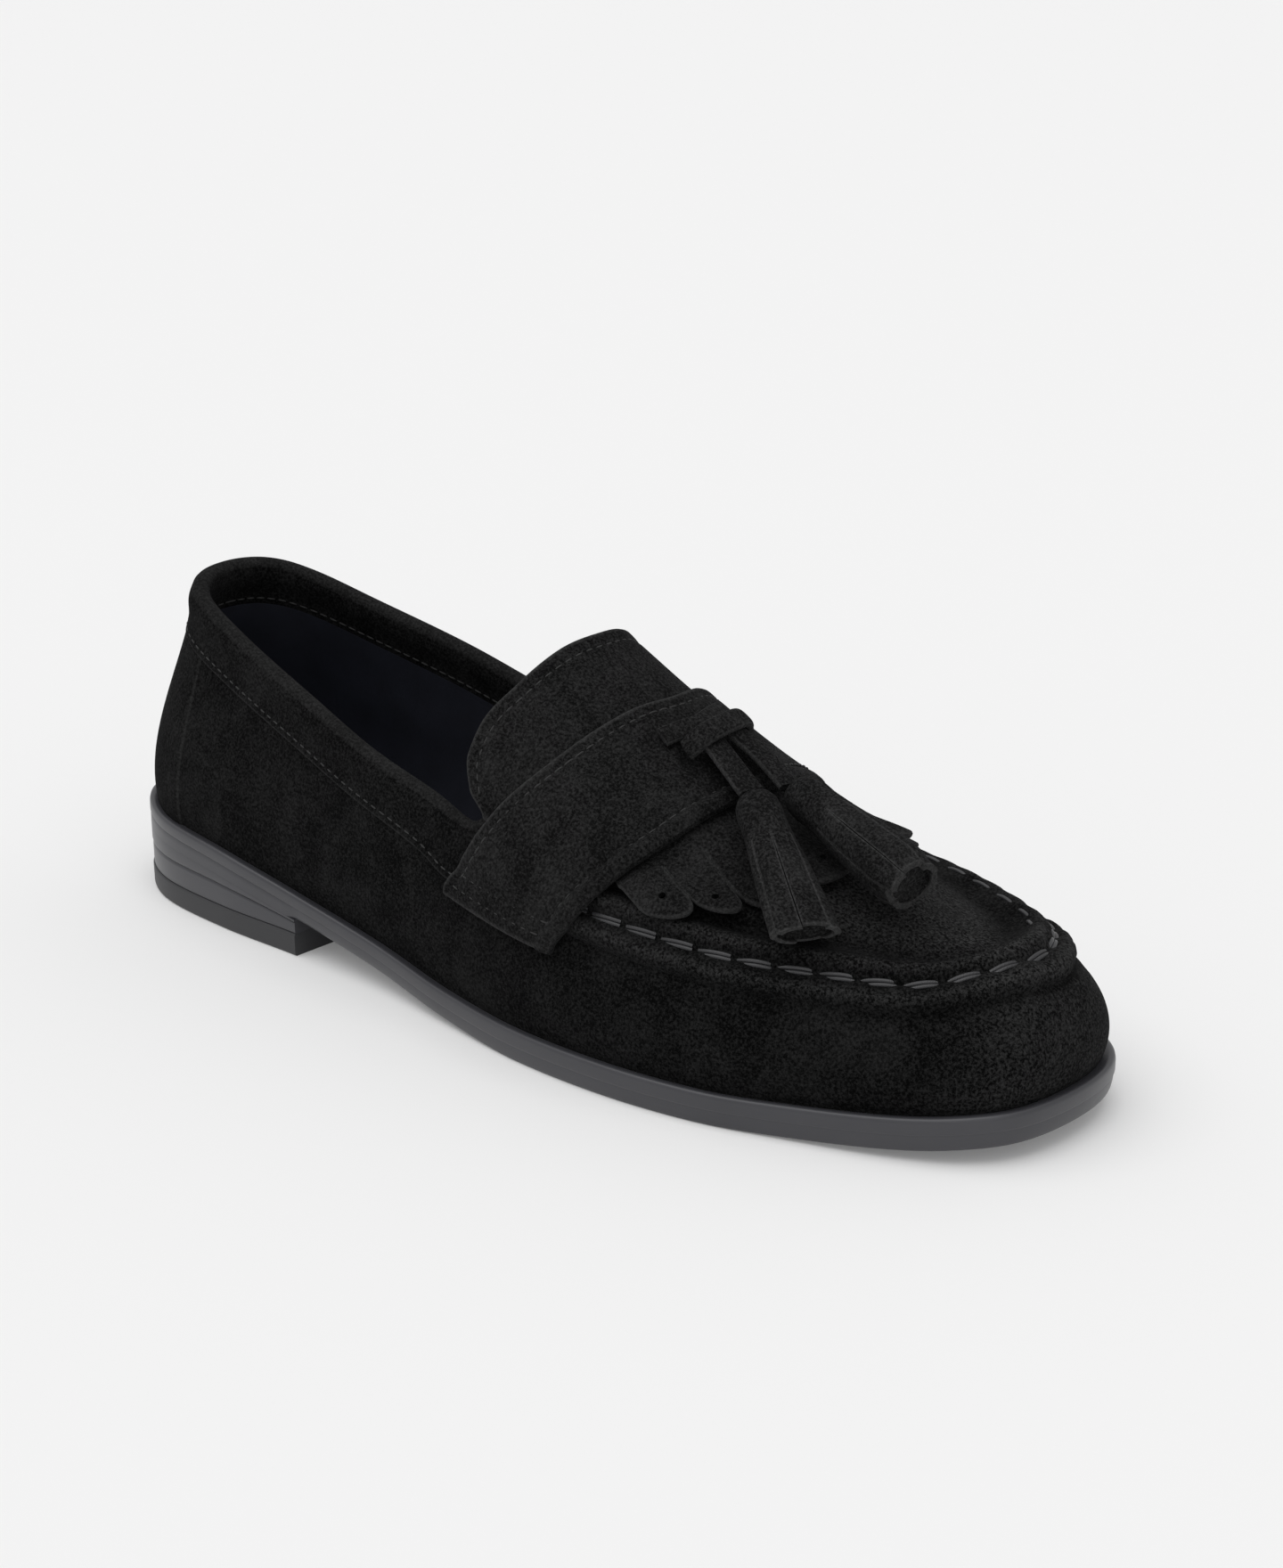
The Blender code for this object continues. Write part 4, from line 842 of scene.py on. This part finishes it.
def punched_fringe(sheet):
    """The fringe with its holes. If the cut fails, the sheet stays whole."""
    spots_up = [over(k, (1.0 - up) * side, 1.6 * MM) for k, up in FRINGE_HOLES for side in (-1, 1)]
    holes = len(spots_up)
    whole_sheet = sheet.copy()
    whole_sheet.vertices.add(holes)
    count = len(sheet.vertices)
    marks, ups = np.zeros(count + holes, dtype=np.float32), np.zeros((count + holes, 3), dtype=np.float32)
    for i, (spot, up) in enumerate(spots_up):
        whole_sheet.vertices[count + i].co = spot
        marks[count + i], ups[count + i] = 1.0, up
    whole_sheet.attributes.new("hole", "FLOAT", "POINT").data.foreach_set("value", marks)
    whole_sheet.attributes.new("up", "FLOAT_VECTOR", "POINT").data.foreach_set("vector", ups.ravel())
    cut = run_tree("fringe_punched", whole_sheet, punch_tree(),
                   {"Width": HOLE_WIDTH, "Depth": 9.0 * MM, "Material": TRIM_SUEDE_PAINTED_PALER})
    print("fringe before and after the punch:", len(sheet.polygons), len(cut.polygons), "faces")
    return cut if len(cut.polygons) > len(sheet.polygons) else sheet


fringe = finish_piece(link_piece("fringe_skin", punched_fringe(fringe_mesh([TRIM_SUEDE_PAINTED_PALER]))), ["kiltie_fringe"])

# %% [markdown]
# ## Tassels and lace
# A tassel is a piece of suede cut into strips and rolled up: the top is wound tight into a head, and the
# strips hang below it. Here each strip is its own curved slip, set round a hollow, longer or shorter and
# lifted a little more or less than the next. The lace is a flat suede thong with rounded edges.

# %% Tassels
# name, head and end as (section, across, height), how far it is pressed flat, turn of its strips
TASSELS = (("tassel_lateral", (8.46, -0.150, 7.9), (9.86, -0.475, 8.0), 1.0, 0.0),
           ("tassel_medial", (8.66, -0.040, 8.4), (10.60, -0.200, 9.8), 0.2, 0.4))
TASSEL_LENGTH, HEAD_RADIUS = 37 * MM, 4.6 * MM
# share of the length, radius in head radii, flatness
TASSEL_PROFILE = np.array(((0.000, 0.22, 1.00), (0.012, 0.50, 1.00), (0.040, 0.78, 1.00), (0.085, 0.94, 1.00),
                           (0.150, 1.00, 1.00), (0.230, 0.98, 0.98), (0.330, 1.05, 0.86), (0.500, 1.22, 0.70),
                           (0.750, 1.42, 0.54), (1.000, 1.56, 0.42)))


def tassel_frame(head, end):
    """The tassel's start, its axis, the way across it and the way up."""
    start, up = over(head[0], head[1], head[2] * MM)
    finish, _ = over(end[0], end[1], end[2] * MM)
    axis = unit(finish - start)
    across = unit(np.cross(axis, up))
    return start, axis, across, np.cross(across, axis)


def tassel_place(frame_of, along, radius, angle, flat):
    """Points of a tassel from its length, radius and angle."""
    start, axis, across, up = frame_of
    return (start + axis * along[..., None] + across * (radius * np.cos(angle))[..., None]
            + up * (radius * flat * np.sin(angle))[..., None])


def tassel_mesh(name, head, end, pressed, phase, material, strips=7):
    """A wound head and a skirt of strips."""
    frame_of = tassel_frame(head, end)
    columns_of = TASSEL_PROFILE.T

    def profile(t):
        return np.interp(t, columns_of[0], columns_of[1]), 1.0 - pressed * (1.0 - np.interp(t, columns_of[0],
                                                                                            columns_of[2]))

    points, faces, edges = [], [], []
    t = np.concatenate([np.linspace(0.0, 0.1, 12), np.linspace(0.12, 0.44, 22), np.linspace(0.48, 0.975, 14)])[:, None]
    angle = np.linspace(0.0, 2.0 * math.pi, 73)[None, :-1]
    radius, flat = profile(t)
    seam = np.exp(-((np.mod(angle - 1.9 + math.pi, 2 * math.pi) - math.pi) / 0.05)**2) * ease(t, 0.08, 0.14)
    radius = radius * HEAD_RADIUS * (1.0 + 0.012 * np.sin(3 * angle + 1.0)) - seam * 0.35 * MM
    radius = radius * (1.0 - 0.20 * ease(t, 0.36, 0.44)) - 0.4 * MM * ease(t, 0.5, 0.9)
    grid = tassel_place(frame_of, t * TASSEL_LENGTH + 0 * angle, radius, angle + 0 * t, flat)
    rows, columns = grid.shape[:2]
    a = np.arange(columns)
    for i in range(rows - 1):
        faces.append(np.stack([i * columns + a, i * columns + (a + 1) % columns,
                               (i + 1) * columns + (a + 1) % columns, (i + 1) * columns + a], axis=1))
    points.append(grid.reshape(-1, 3))
    edges.append(np.zeros(rows * columns))
    count = rows * columns
    centre = [grid[0].mean(axis=0), grid[-1].mean(axis=0)]
    points.append(np.array(centre))
    edges.append(np.zeros(2))
    faces.append(np.stack([a, np.full(columns, count), np.full(columns, count), (a + 1) % columns], axis=1))
    last = (rows - 1) * columns
    faces.append(np.stack([last + (a + 1) % columns, np.full(columns, count + 1), np.full(columns, count + 1),
                           last + a], axis=1))
    count += 2
    for i in range(strips):
        wave = math.sin(2.4 * i + 5.0 * phase)
        middle_angle = 2.0 * math.pi * (i + phase) / strips
        end_share = 1.0 + 0.014 * wave + 0.02 * math.sin(middle_angle)
        t = np.linspace(0.355, end_share, 34)[:, None]
        u = np.linspace(-1.0, 1.0, 13)[None, :]
        radius, flat = profile(t)
        lift = (0.30 * math.sin(1.7 * i + phase) * ease(t, 0.5, 1.0) - 0.35 * u**4 * ease(t, 0.4, 0.7)) * MM
        gap = 0.015 + 0.035 * ease(t, 0.38, 0.6)
        swing = 0.03 * math.sin(3.1 * i + phase) * ease(t, 0.45, 1.0)
        angle = middle_angle + swing + u * (1.0 - gap) * math.pi / strips
        lift = lift - (1.0 - pressed) * 1.4 * MM * ease(t, 0.86, 1.0)
        for level, sink in ((0, 0.0), (1, 1.4 * MM)):
            grid = tassel_place(frame_of, t * TASSEL_LENGTH + 0 * u, radius * HEAD_RADIUS + lift - sink, angle, flat)
            if level == 0:
                outer = grid
        loop = np.concatenate([outer, grid[:, ::-1]], axis=1)
        rows, columns = loop.shape[:2]
        a = np.arange(columns)
        for r in range(rows - 1):
            faces.append(count + np.stack([r * columns + a, r * columns + (a + 1) % columns,
                                           (r + 1) * columns + (a + 1) % columns, (r + 1) * columns + a], axis=1))
        half = columns // 2
        b = np.arange(half - 1)
        for base in (0, (rows - 1) * columns):
            faces.append(count + base + np.stack([b, b + 1, columns - 2 - b, columns - 1 - b], axis=1))
        points.append(loop.reshape(-1, 3))
        mark = np.zeros(loop.shape[:2])
        mark[:, [0, half - 1, half, columns - 1]] = 0.9
        mark[-1] = 0.9
        edges.append(mark.reshape(-1))
        count += rows * columns
    return make_mesh(name, np.concatenate(points), np.concatenate(faces), [material], np.concatenate(edges))


for name, head, end, pressed, phase in TASSELS:
    tassel = link_piece(name + "_strips", tassel_mesh(name + "_strips", head, end, pressed, phase, TASSEL_SUEDE_PAINTED_PALER))
    finish_piece(tassel, [name])
    print(name, len(tassel.data.polygons), "faces")

# %% Lace
# name, width, thickness and route as (section, across, height)
LACES = (
    ("lace_bridge", 4.4, 1.7, ((7.38, -0.150, 5.9), (7.42, -0.100, 5.9), (7.46, -0.037, 6.0), (7.42, 0.030, 5.9),
                               (7.38, 0.080, 5.9))),
    ("lace_neck_lateral", 5.6, 1.8, ((7.60, -0.075, 7.9), (7.90, -0.095, 8.0), (8.20, -0.122, 8.1),
                                     (8.42, -0.142, 8.0))),
    ("lace_neck_medial", 5.6, 1.8, ((7.60, 0.000, 7.9), (7.95, 0.000, 8.1), (8.30, -0.015, 8.3),
                                    (8.63, -0.042, 8.3))),
    ("lace_wrap", 4.8, 2.2, ((7.62, -0.137, 6.3), (7.64, -0.125, 8.0), (7.66, -0.100, 9.8), (7.67, -0.037, 10.2),
                             (7.66, 0.028, 9.8), (7.66, 0.054, 8.0), (7.66, 0.066, 6.3))))


def lace_mesh(name, width, thickness, route, material, steps=60, around=28):
    """A flat thong along a route over the last."""
    rows = read(np.array(route), np.linspace(0.0, len(route) - 1.0, steps + 1), (0, 1, 2))
    centre, up = over(rows[:, 0], rows[:, 1], rows[:, 2] * MM)
    ahead = unit(np.gradient(centre, axis=0))
    across = unit(np.cross(ahead, up))
    above = np.cross(across, ahead)
    angle = 2.0 * math.pi * np.arange(around) / around
    wide = np.sign(np.cos(angle)) * abs(np.cos(angle))**0.6 * width * MM / 2.0
    thick = np.sign(np.sin(angle)) * abs(np.sin(angle))**0.7 * thickness * MM / 2.0
    loop = centre[:, None] + across[:, None] * wide[None, :, None] + above[:, None] * thick[None, :, None]
    a = np.arange(around)
    faces = [np.stack([r * around + a, r * around + (a + 1) % around, (r + 1) * around + (a + 1) % around,
                       (r + 1) * around + a], axis=1) for r in range(steps)]
    points = np.concatenate([loop.reshape(-1, 3), centre[[0, -1]]])
    last, n = steps * around, (steps + 1) * around
    faces.append(np.stack([(a + 1) % around, a, np.full(around, n), np.full(around, n)], axis=1))
    faces.append(np.stack([last + a, last + (a + 1) % around, np.full(around, n + 1), np.full(around, n + 1)], axis=1))
    mark = np.tile((abs(wide) > 0.46 * width * MM) * 0.6, steps + 1)
    return make_mesh(name, points, np.concatenate(faces), [material], np.concatenate([mark, [0.5, 0.5]]))


for name, width, thickness, route in LACES:
    thong = lace_mesh(name + "_thong", width, thickness, route, TASSEL_SUEDE_PAINTED_PALER)
    finish_piece(link_piece(name + "_thong", thong), [name])
print("lace:", len(LACES), "pieces")

# %% [markdown]
# ## Sole
# The sole is moulded rubber: an outsole with a thin rib at its top edge, a heel block with the line of its
# wedge, and a top lift. Satin rubber mirrors the white tent softly, so its black looks grey on top of
# every rounding. The CAD slabs are cut coarsely, so each is built again with many more sections and levels.

# %% Sole
HEEL_BREAST = 4.03


def rubber(name, dark, pale, roughness):
    """Moulded black rubber, satin from the mould, with a faint cloudiness."""
    material, tree, shader, place = new_material(name)
    cloud = add(tree, "ShaderNodeTexNoise", {"Vector": place, "Scale": 60.0, "Detail": 4.0})
    fine = add(tree, "ShaderNodeTexNoise", {"Vector": place, "Scale": 1800.0, "Detail": 2.0})
    tree.links.new(mix(tree, cloud.outputs["Fac"], linear(dark), linear(pale)), shader.inputs["Base Color"])
    gloss = add(tree, "ShaderNodeMapRange", {"Value": cloud.outputs["Fac"], "To Min": roughness - 0.05,
                                             "To Max": roughness + 0.07})
    bump = add(tree, "ShaderNodeBump", {"Height": fine.outputs["Fac"], "Strength": 0.08, "Distance": 0.05 * MM})
    tree.links.new(gloss.outputs["Result"], shader.inputs["Roughness"])
    tree.links.new(bump.outputs["Normal"], shader.inputs["Normal"])
    return material


def slab_mesh(name, section, levels, material):
    """A slab across the foot: levels are (reach, height) from the top's inside edge to the underside's."""
    rows = []
    for reach, height in levels:
        loop = []
        for side, order in ((-1, slice(None)), (1, slice(None, None, -1))):
            foot, out, _ = feather(section, side)
            point = foot + out * np.asarray(reach)[..., None]
            point[:, 2] = height
            loop.append(point[order])
        rows.append(np.concatenate(loop))
    grid = np.array(rows)
    levels_count, around = grid.shape[:2]
    a = np.arange(around)
    faces = [np.stack([r * around + a, r * around + (a + 1) % around, (r + 1) * around + (a + 1) % around,
                       (r + 1) * around + a], axis=1) for r in range(levels_count - 1)]
    half = around // 2
    i = np.arange(half - 1)
    for base in (0, (levels_count - 1) * around):
        faces.append(base + np.stack([i, i + 1, around - 2 - i, around - 1 - i], axis=1))
    points, faces = weld(grid.reshape(-1, 3), np.concatenate(faces))
    return make_mesh(name, points, faces, [material], sharp=50.0)


def outsole_levels(section):
    """The outsole's edge: a thin rib, the light band and the lower half, which slopes in ahead of the heel."""
    foot, _, under = feather(section, -1)
    top = foot[:, 2] - GAP
    thick = top - under
    r = SOLE_REACH
    slope = ease(section, HEEL_BREAST - 0.12, HEEL_BREAST + 0.08)
    levels = [(-WALL, top), (0.2 * MM, top), (r - 1.5 * MM, top + 0.35 * MM), (r - 0.9 * MM, top + 0.5 * MM),
              (r - 0.45 * MM, top + 0.42 * MM), (r - 0.15 * MM, top + 0.15 * MM)]
    for inset, sloped, down in ((0.0, 0.0, 0.08), (0.0, 0.0, 0.39), (0.08, 0.05, 0.43), (0.22, 0.12, 0.45),
                                (0.22, 0.14, 0.47), (0.12, 0.20, 0.50), (0.12, 0.36, 0.70), (0.12, 0.56, 0.86),
                                (0.12, 0.80, 0.96), (0.12, 1.20, 1.00)):
        levels.append((r - (inset + (sloped - min(inset, sloped)) * slope) * MM, top - down * thick))
    return levels


def heel_levels(section):
    """The heel block: its top, the wedge line and the seat of the top lift."""
    _, _, under = feather(section, -1)
    top = under - 0.02 * MM
    low = np.full_like(top, LIFT_HEIGHT + 0.02 * MM)
    tall = top - low
    line = top - tall * np.interp(section, (0.0, 4.2), (0.60, 0.20))
    r = SOLE_REACH - 0.1 * MM
    return [(r - 2.0 * MM, top), (r - 0.1 * MM, top), (r - 0.05 * MM, top - 0.05 * tall), (r - 0.1 * MM, line + 0.10 * tall),
            (r - 0.2 * MM, line + 0.05 * tall), (r - 0.6 * MM, line), (r - 0.3 * MM, line - 0.05 * tall),
            (r - 0.25 * MM, line - 0.09 * tall), (r - 0.35 * MM, low + 0.5 * MM), (r - 0.45 * MM, low + 0.15 * MM),
            (r - 0.8 * MM, low)]


def lift_levels(section):
    """The top lift, that stands on the floor."""
    flat = np.full(section.shape, LIFT_HEIGHT)
    r = SOLE_REACH - 0.1 * MM
    return [(r - 1.6 * MM, flat), (r - 0.5 * MM, flat), (r - 0.25 * MM, flat - 0.12 * MM),
            (r - 0.1 * MM, flat - 0.45 * MM), (r - 0.2 * MM, 0 * flat + 0.8 * MM), (r - 0.35 * MM, 0 * flat + 0.3 * MM),
            (r - 0.7 * MM, 0 * flat)]


SATIN_RUBBER = rubber("satin_black_rubber", "333337", "404044", 0.36)
LIFT_RUBBER = rubber("matt_black_rubber", "2B2B2D", "363638", 0.55)
whole = np.linspace(0.0, TOE, 241)
behind = np.linspace(0.0, HEEL_BREAST, 81)
for name, section, levels, material in (("outsole", whole, outsole_levels, SATIN_RUBBER),
                                        ("heel_block", behind, heel_levels, SATIN_RUBBER),
                                        ("heel_top_lift", behind, lift_levels, LIFT_RUBBER)):
    mesh = slab_mesh(name + "_moulding", section, levels(section), material)
    finish_piece(link_piece(name + "_moulding", mesh), [name])
    print(name, len(mesh.polygons), "faces")

# %% [markdown]
# ## Footbed
# The sock is a thin sheet of lining leather over foam, cemented in. It is crowned a little and its edge
# rolls down beside the wall.

# %% Footbed


def footbed_mesh(material):
    """A crowned sheet between the walls."""
    section = np.linspace(0.35, TOE - 0.35, 150)
    across = np.linspace(-1.0, 1.0, 41)
    left, left_out, _ = feather(section, -1)
    right, right_out, _ = feather(section, 1)
    inset = WALL + 1.3 * MM
    left, right = left - left_out * inset, right - right_out * inset
    share = (across[None, :, None] + 1.0) / 2.0
    points = left[:, None] * (1.0 - share) + right[:, None] * share
    crown = 1.0 - 0.35 * abs(across[None, :])**6 - 0.02 * across[None, :]**2
    points[..., 2] += GAP
    faces = grid_faces(len(section), len(across))
    high = np.broadcast_to(3.0 * MM * crown, points.shape[:2])
    made, sides, edges, _ = skin(points.reshape(-1, 3), faces, np.zeros(high.size), high.reshape(-1), rim=0.6 * MM)
    return make_mesh("footbed_sock", made, sides, [material], edges * 0.0)


footbed = finish_piece(link_piece("footbed_sock", footbed_mesh(LINING)), ["insole"])
print("footbed:", len(footbed.data.polygons), "faces")

# %% [markdown]
# ## Stitches
# Every seam is a row of equal stitches along a path, which is what Geometry Nodes do best. One tree serves
# them all: it cuts a path into pitches, sets a small bent thread on each point, turns it to the path and to
# the surface, and gives it its material. The hand-sewn moc seam uses thick waxed thread 5.6 mm long, and the
# machine seams fine thread 2 mm long. The hand seam shows two strands in its groove, and on the plug's side
# the strands between them.

# %% Stitch tree


def stitch_tree():
    """Geometry Nodes: stitches along the paths of a mesh whose points hold the way up."""
    tree = bpy.data.node_groups.new("stitch_row", "GeometryNodeTree")
    face = tree.interface
    face.new_socket("Geometry", in_out="INPUT", socket_type="NodeSocketGeometry")
    for name in ("Pitch", "Length", "Thread", "Rise", "Slant"):
        face.new_socket(name, in_out="INPUT", socket_type="NodeSocketFloat")
    face.new_socket("Material", in_out="INPUT", socket_type="NodeSocketMaterial")
    face.new_socket("Geometry", in_out="OUTPUT", socket_type="NodeSocketGeometry")
    start = add(tree, "NodeGroupInput").outputs
    path = add(tree, "GeometryNodeMeshToCurve", {"Mesh": start["Geometry"]})
    cut = add(tree, "GeometryNodeResampleCurve", {"Curve": path.outputs["Curve"], "Length": start["Pitch"]},
              mode="LENGTH")
    half = add(tree, "ShaderNodeMath", {0: start["Length"], 1: 0.5}, operation="MULTIPLY").outputs[0]
    less = add(tree, "ShaderNodeMath", {0: half, 1: -1.0}, operation="MULTIPLY").outputs[0]
    sink = add(tree, "ShaderNodeMath", {0: start["Thread"], 1: -0.7}, operation="MULTIPLY").outputs[0]
    ends = [add(tree, "ShaderNodeCombineXYZ", {"X": x, "Z": sink}).outputs[0] for x in (less, half)]
    top = add(tree, "ShaderNodeCombineXYZ", {"Z": start["Rise"]}).outputs[0]
    bend = add(tree, "GeometryNodeCurveQuadraticBezier", {"Resolution": 8, "Start": ends[0], "Middle": top,
                                                          "End": ends[1]})
    radius = add(tree, "ShaderNodeMath", {0: start["Thread"], 1: 0.5}, operation="MULTIPLY").outputs[0]
    ring = add(tree, "GeometryNodeCurvePrimitiveCircle", {"Resolution": 8, "Radius": radius})
    thread = add(tree, "GeometryNodeCurveToMesh", {"Curve": bend.outputs["Curve"],
                                                   "Profile Curve": ring.outputs["Curve"], "Fill Caps": True})
    way = add(tree, "GeometryNodeInputTangent").outputs["Tangent"]
    up = add(tree, "GeometryNodeInputNamedAttribute", {"Name": "up"}, data_type="FLOAT_VECTOR")
    turn = add(tree, "FunctionNodeAxesToRotation", {"Primary Axis": way, "Secondary Axis": up.outputs["Attribute"]},
               primary_axis="X", secondary_axis="Z")
    rows = add(tree, "GeometryNodeInstanceOnPoints", {"Points": cut.outputs["Curve"],
                                                      "Instance": thread.outputs["Mesh"],
                                                      "Rotation": turn.outputs["Rotation"]})
    slant = add(tree, "ShaderNodeCombineXYZ", {"Z": start["Slant"]}).outputs[0]
    angled = add(tree, "GeometryNodeRotateInstances", {"Instances": rows.outputs["Instances"], "Rotation": slant})
    real = add(tree, "GeometryNodeRealizeInstances", {"Geometry": angled.outputs["Instances"]})
    done = add(tree, "GeometryNodeSetMaterial", {"Geometry": real.outputs["Geometry"], "Material": start["Material"]})
    add(tree, "NodeGroupOutput", {"Geometry": done.outputs["Geometry"]})
    return tree


STITCHES = stitch_tree()


def path_mesh(name, paths):
    """A mesh of open lines from (points, up) pairs, with the way up on each point."""
    points = np.concatenate([p for p, _ in paths])
    ups = np.concatenate([u for _, u in paths])
    edges, count = [], 0
    for p, _ in paths:
        edges += [(count + i, count + i + 1) for i in range(len(p) - 1)]
        count += len(p)
    mesh = bpy.data.meshes.new(name)
    mesh.from_pydata(points.tolist(), edges, [])
    mesh.attributes.new("up", "FLOAT_VECTOR", "POINT").data.foreach_set("vector", ups.astype(np.float32).ravel())
    return mesh


def thread_material(name, colour, roughness, coat):
    """Waxed or plain polyester thread, dyed, with the twist of its plies in the bump."""
    material, tree, shader, place = new_material(name)
    plies = add(tree, "ShaderNodeTexWave", {"Vector": place, "Scale": 900.0, "Distortion": 3.0, "Detail": 1.0})
    bump = add(tree, "ShaderNodeBump", {"Height": plies.outputs["Fac"], "Strength": 0.25, "Distance": 0.08 * MM})
    tree.links.new(bump.outputs["Normal"], shader.inputs["Normal"])
    shader.inputs["Base Color"].default_value = linear(colour)
    shader.inputs["Roughness"].default_value = roughness
    shader.inputs["Coat Weight"].default_value = coat
    shader.inputs["Coat Roughness"].default_value = 0.3
    return material


WAXED_THREAD = thread_material("waxed_grey_thread", "2A2A2C", 0.5, 0.12)
FINE_THREAD = thread_material("black_polyester_thread", "262626", 0.8, 0.0)
print("stitch tree ready")

# %% Moc seam stitches


def moc_path(side, across, height, lean):
    """A line along the seam from the toe to the strap on one side, and its way up, leant towards the plug."""
    start = 7.42 if side < 0 else 7.75
    fine = np.linspace(TOE, start, 300)
    points, up = on_wall(fine, side, across, height * ease(fine, 6.6, 7.7))
    inwards = unit(on_wall(fine, side, across + 0.05)[0] - on_wall(fine, side, across - 0.05)[0])
    return points, unit(up + inwards * lean)


def moc_paths(across, height, lean, place, sides):
    """One path round the toe, cut so that stitches lie at a share of a pitch from the toe."""
    (left, left_up), (right, right_up) = (moc_path(side, across, height, lean) for side in (-1, 1))
    points = np.concatenate([left[::-1], right[1:]])
    ups = np.concatenate([left_up[::-1], right_up[1:]])
    run = np.concatenate([[0.0], np.cumsum(np.linalg.norm(np.diff(points, axis=0), axis=1))])
    pitch = SEAM_PITCH * run[-1] / (seam_run(7.42, -1) + seam_run(7.75, 1))
    toe = run[len(left) - 1]
    first = toe - (math.floor(toe / pitch - place) + place) * pitch if -1 in sides else toe + (2.0 - place) * pitch
    count = int((run[-1] - first) / pitch)
    goal = np.linspace(first, first + count * pitch, count * 10 + 1)
    return [tuple(spots(*[np.interp(goal, run, row[:, c]) for c in range(3)]) for row in (points, ups))], pitch


def add_stitches(name, paths, pitch, length, thread, rise, slant, material, slot):
    """A piece of stitches along paths."""
    values = {"Pitch": pitch, "Length": length, "Thread": thread, "Rise": rise, "Slant": slant,
              "Material": material}
    mesh = run_tree(name, path_mesh(name + "_path", paths), STITCHES, values)
    mesh.shade_smooth()
    piece = finish_piece(link_piece(name, mesh), [])
    print(name, len(mesh.polygons), "faces")
    return piece


for name, across, height, lean, place, sides in (
        ("moc_stitches_outer", GROOVE - 0.045, 0.57, 0.0, STITCH_PLACE, (-1, 1)),
        ("moc_stitches_inner", GROOVE + 0.045, 0.60, 0.0, STITCH_PLACE, (-1, 1)),
        ("plug_stitches", 0.97, 0.46, 1.2, STITCH_PLACE - 0.5, (1,))):
    path, pitch = moc_paths(across, height * ROLL_HEIGHT, lean, place, sides)
    add_stitches(name, path, pitch, 6.5 * MM, 0.9 * MM, 0.6 * MM, math.radians(4.0), WAXED_THREAD,
                 "black_suede_upper")

# %% Machine stitches
FINE = {"pitch": 2.6 * MM, "length": 2.0 * MM, "thread": 0.42 * MM, "rise": 0.16 * MM, "slant": 0.0}


def wall_row(side, start, end, across, height):
    """A row beside the band's lower edge."""
    return on_wall(np.linspace(start, end, 200), side, across, np.full(200, height))


def sheet_row(edges, low, inset_back=None, inset_front=None, limit=0.74, height=1.9):
    """A row beside a strap's or tongue's back or front edge, at an inset in millimetres."""
    across = np.linspace(-limit, limit, 300)
    up = 1.0 - abs(across)
    back, front = smooth_between(edges, 1, up), smooth_between(edges, 2, up)
    section = back + inset_back / SECTION_STEP if inset_back else front - inset_front / SECTION_STEP
    return over(section, across, low(up) + height * MM)


def strap_end_row(side, inset):
    """A row across the strap's end."""
    up = 0.245 + inset / 75.0
    back, front = (smooth_between(STRAP_EDGES, c, np.array([up]))[0] for c in (1, 2))
    section = np.linspace(back + 0.12, front - 0.10, 60)
    height = strap_height(np.full(60, up)) + 1.75 * MM
    return over(section, np.full(60, side * (1.0 - up)), height)


def plain(up):
    """The tongue's low, even height."""
    return np.full(np.shape(up), 0.5 * MM)


def facing_row(side):
    """A row inside the collar, where the suede facing meets the lining."""
    section = np.linspace(0.05, COLLAR_END, 200)
    _, height, _ = wall_at(section, side, 0.0)
    across = (height - INNER_BAND + 1.2 * MM - seam_path(section, side)) / ROLL_WIDTH
    points, out = on_wall(section, side, across, np.full(200, -WALL - 0.12 * MM))
    return points, -out


collar_rows = [wall_row(side, 0.05, 6.12, 0.19, BAND_STEP) for side in (-1, 1)]
facing_rows = [facing_row(side) for side in (-1, 1)]
strap_rows = [sheet_row(STRAP_EDGES, strap_height, inset_back=1.9, limit=0.69, height=1.66),
              sheet_row(STRAP_EDGES, strap_height, inset_front=4.0, limit=0.69, height=1.55)]
strap_rows += [strap_end_row(side, inset) for side in (-1, 1) for inset in (2.2, 5.0)]
tongue_rows = [sheet_row(TONGUE_EDGES, plain, inset_back=2.3, limit=0.50, height=1.7)]
for name, rows, slot in (("collar_stitches", collar_rows, "black_suede_upper"),
                         ("facing_stitches", facing_rows, "black_suede_upper"),
                         ("strap_stitches", strap_rows, "black_suede_strap"),
                         ("tongue_stitches", tongue_rows, "black_suede_tongue")):
    add_stitches(name, rows, material=FINE_THREAD, slot=slot, **FINE)
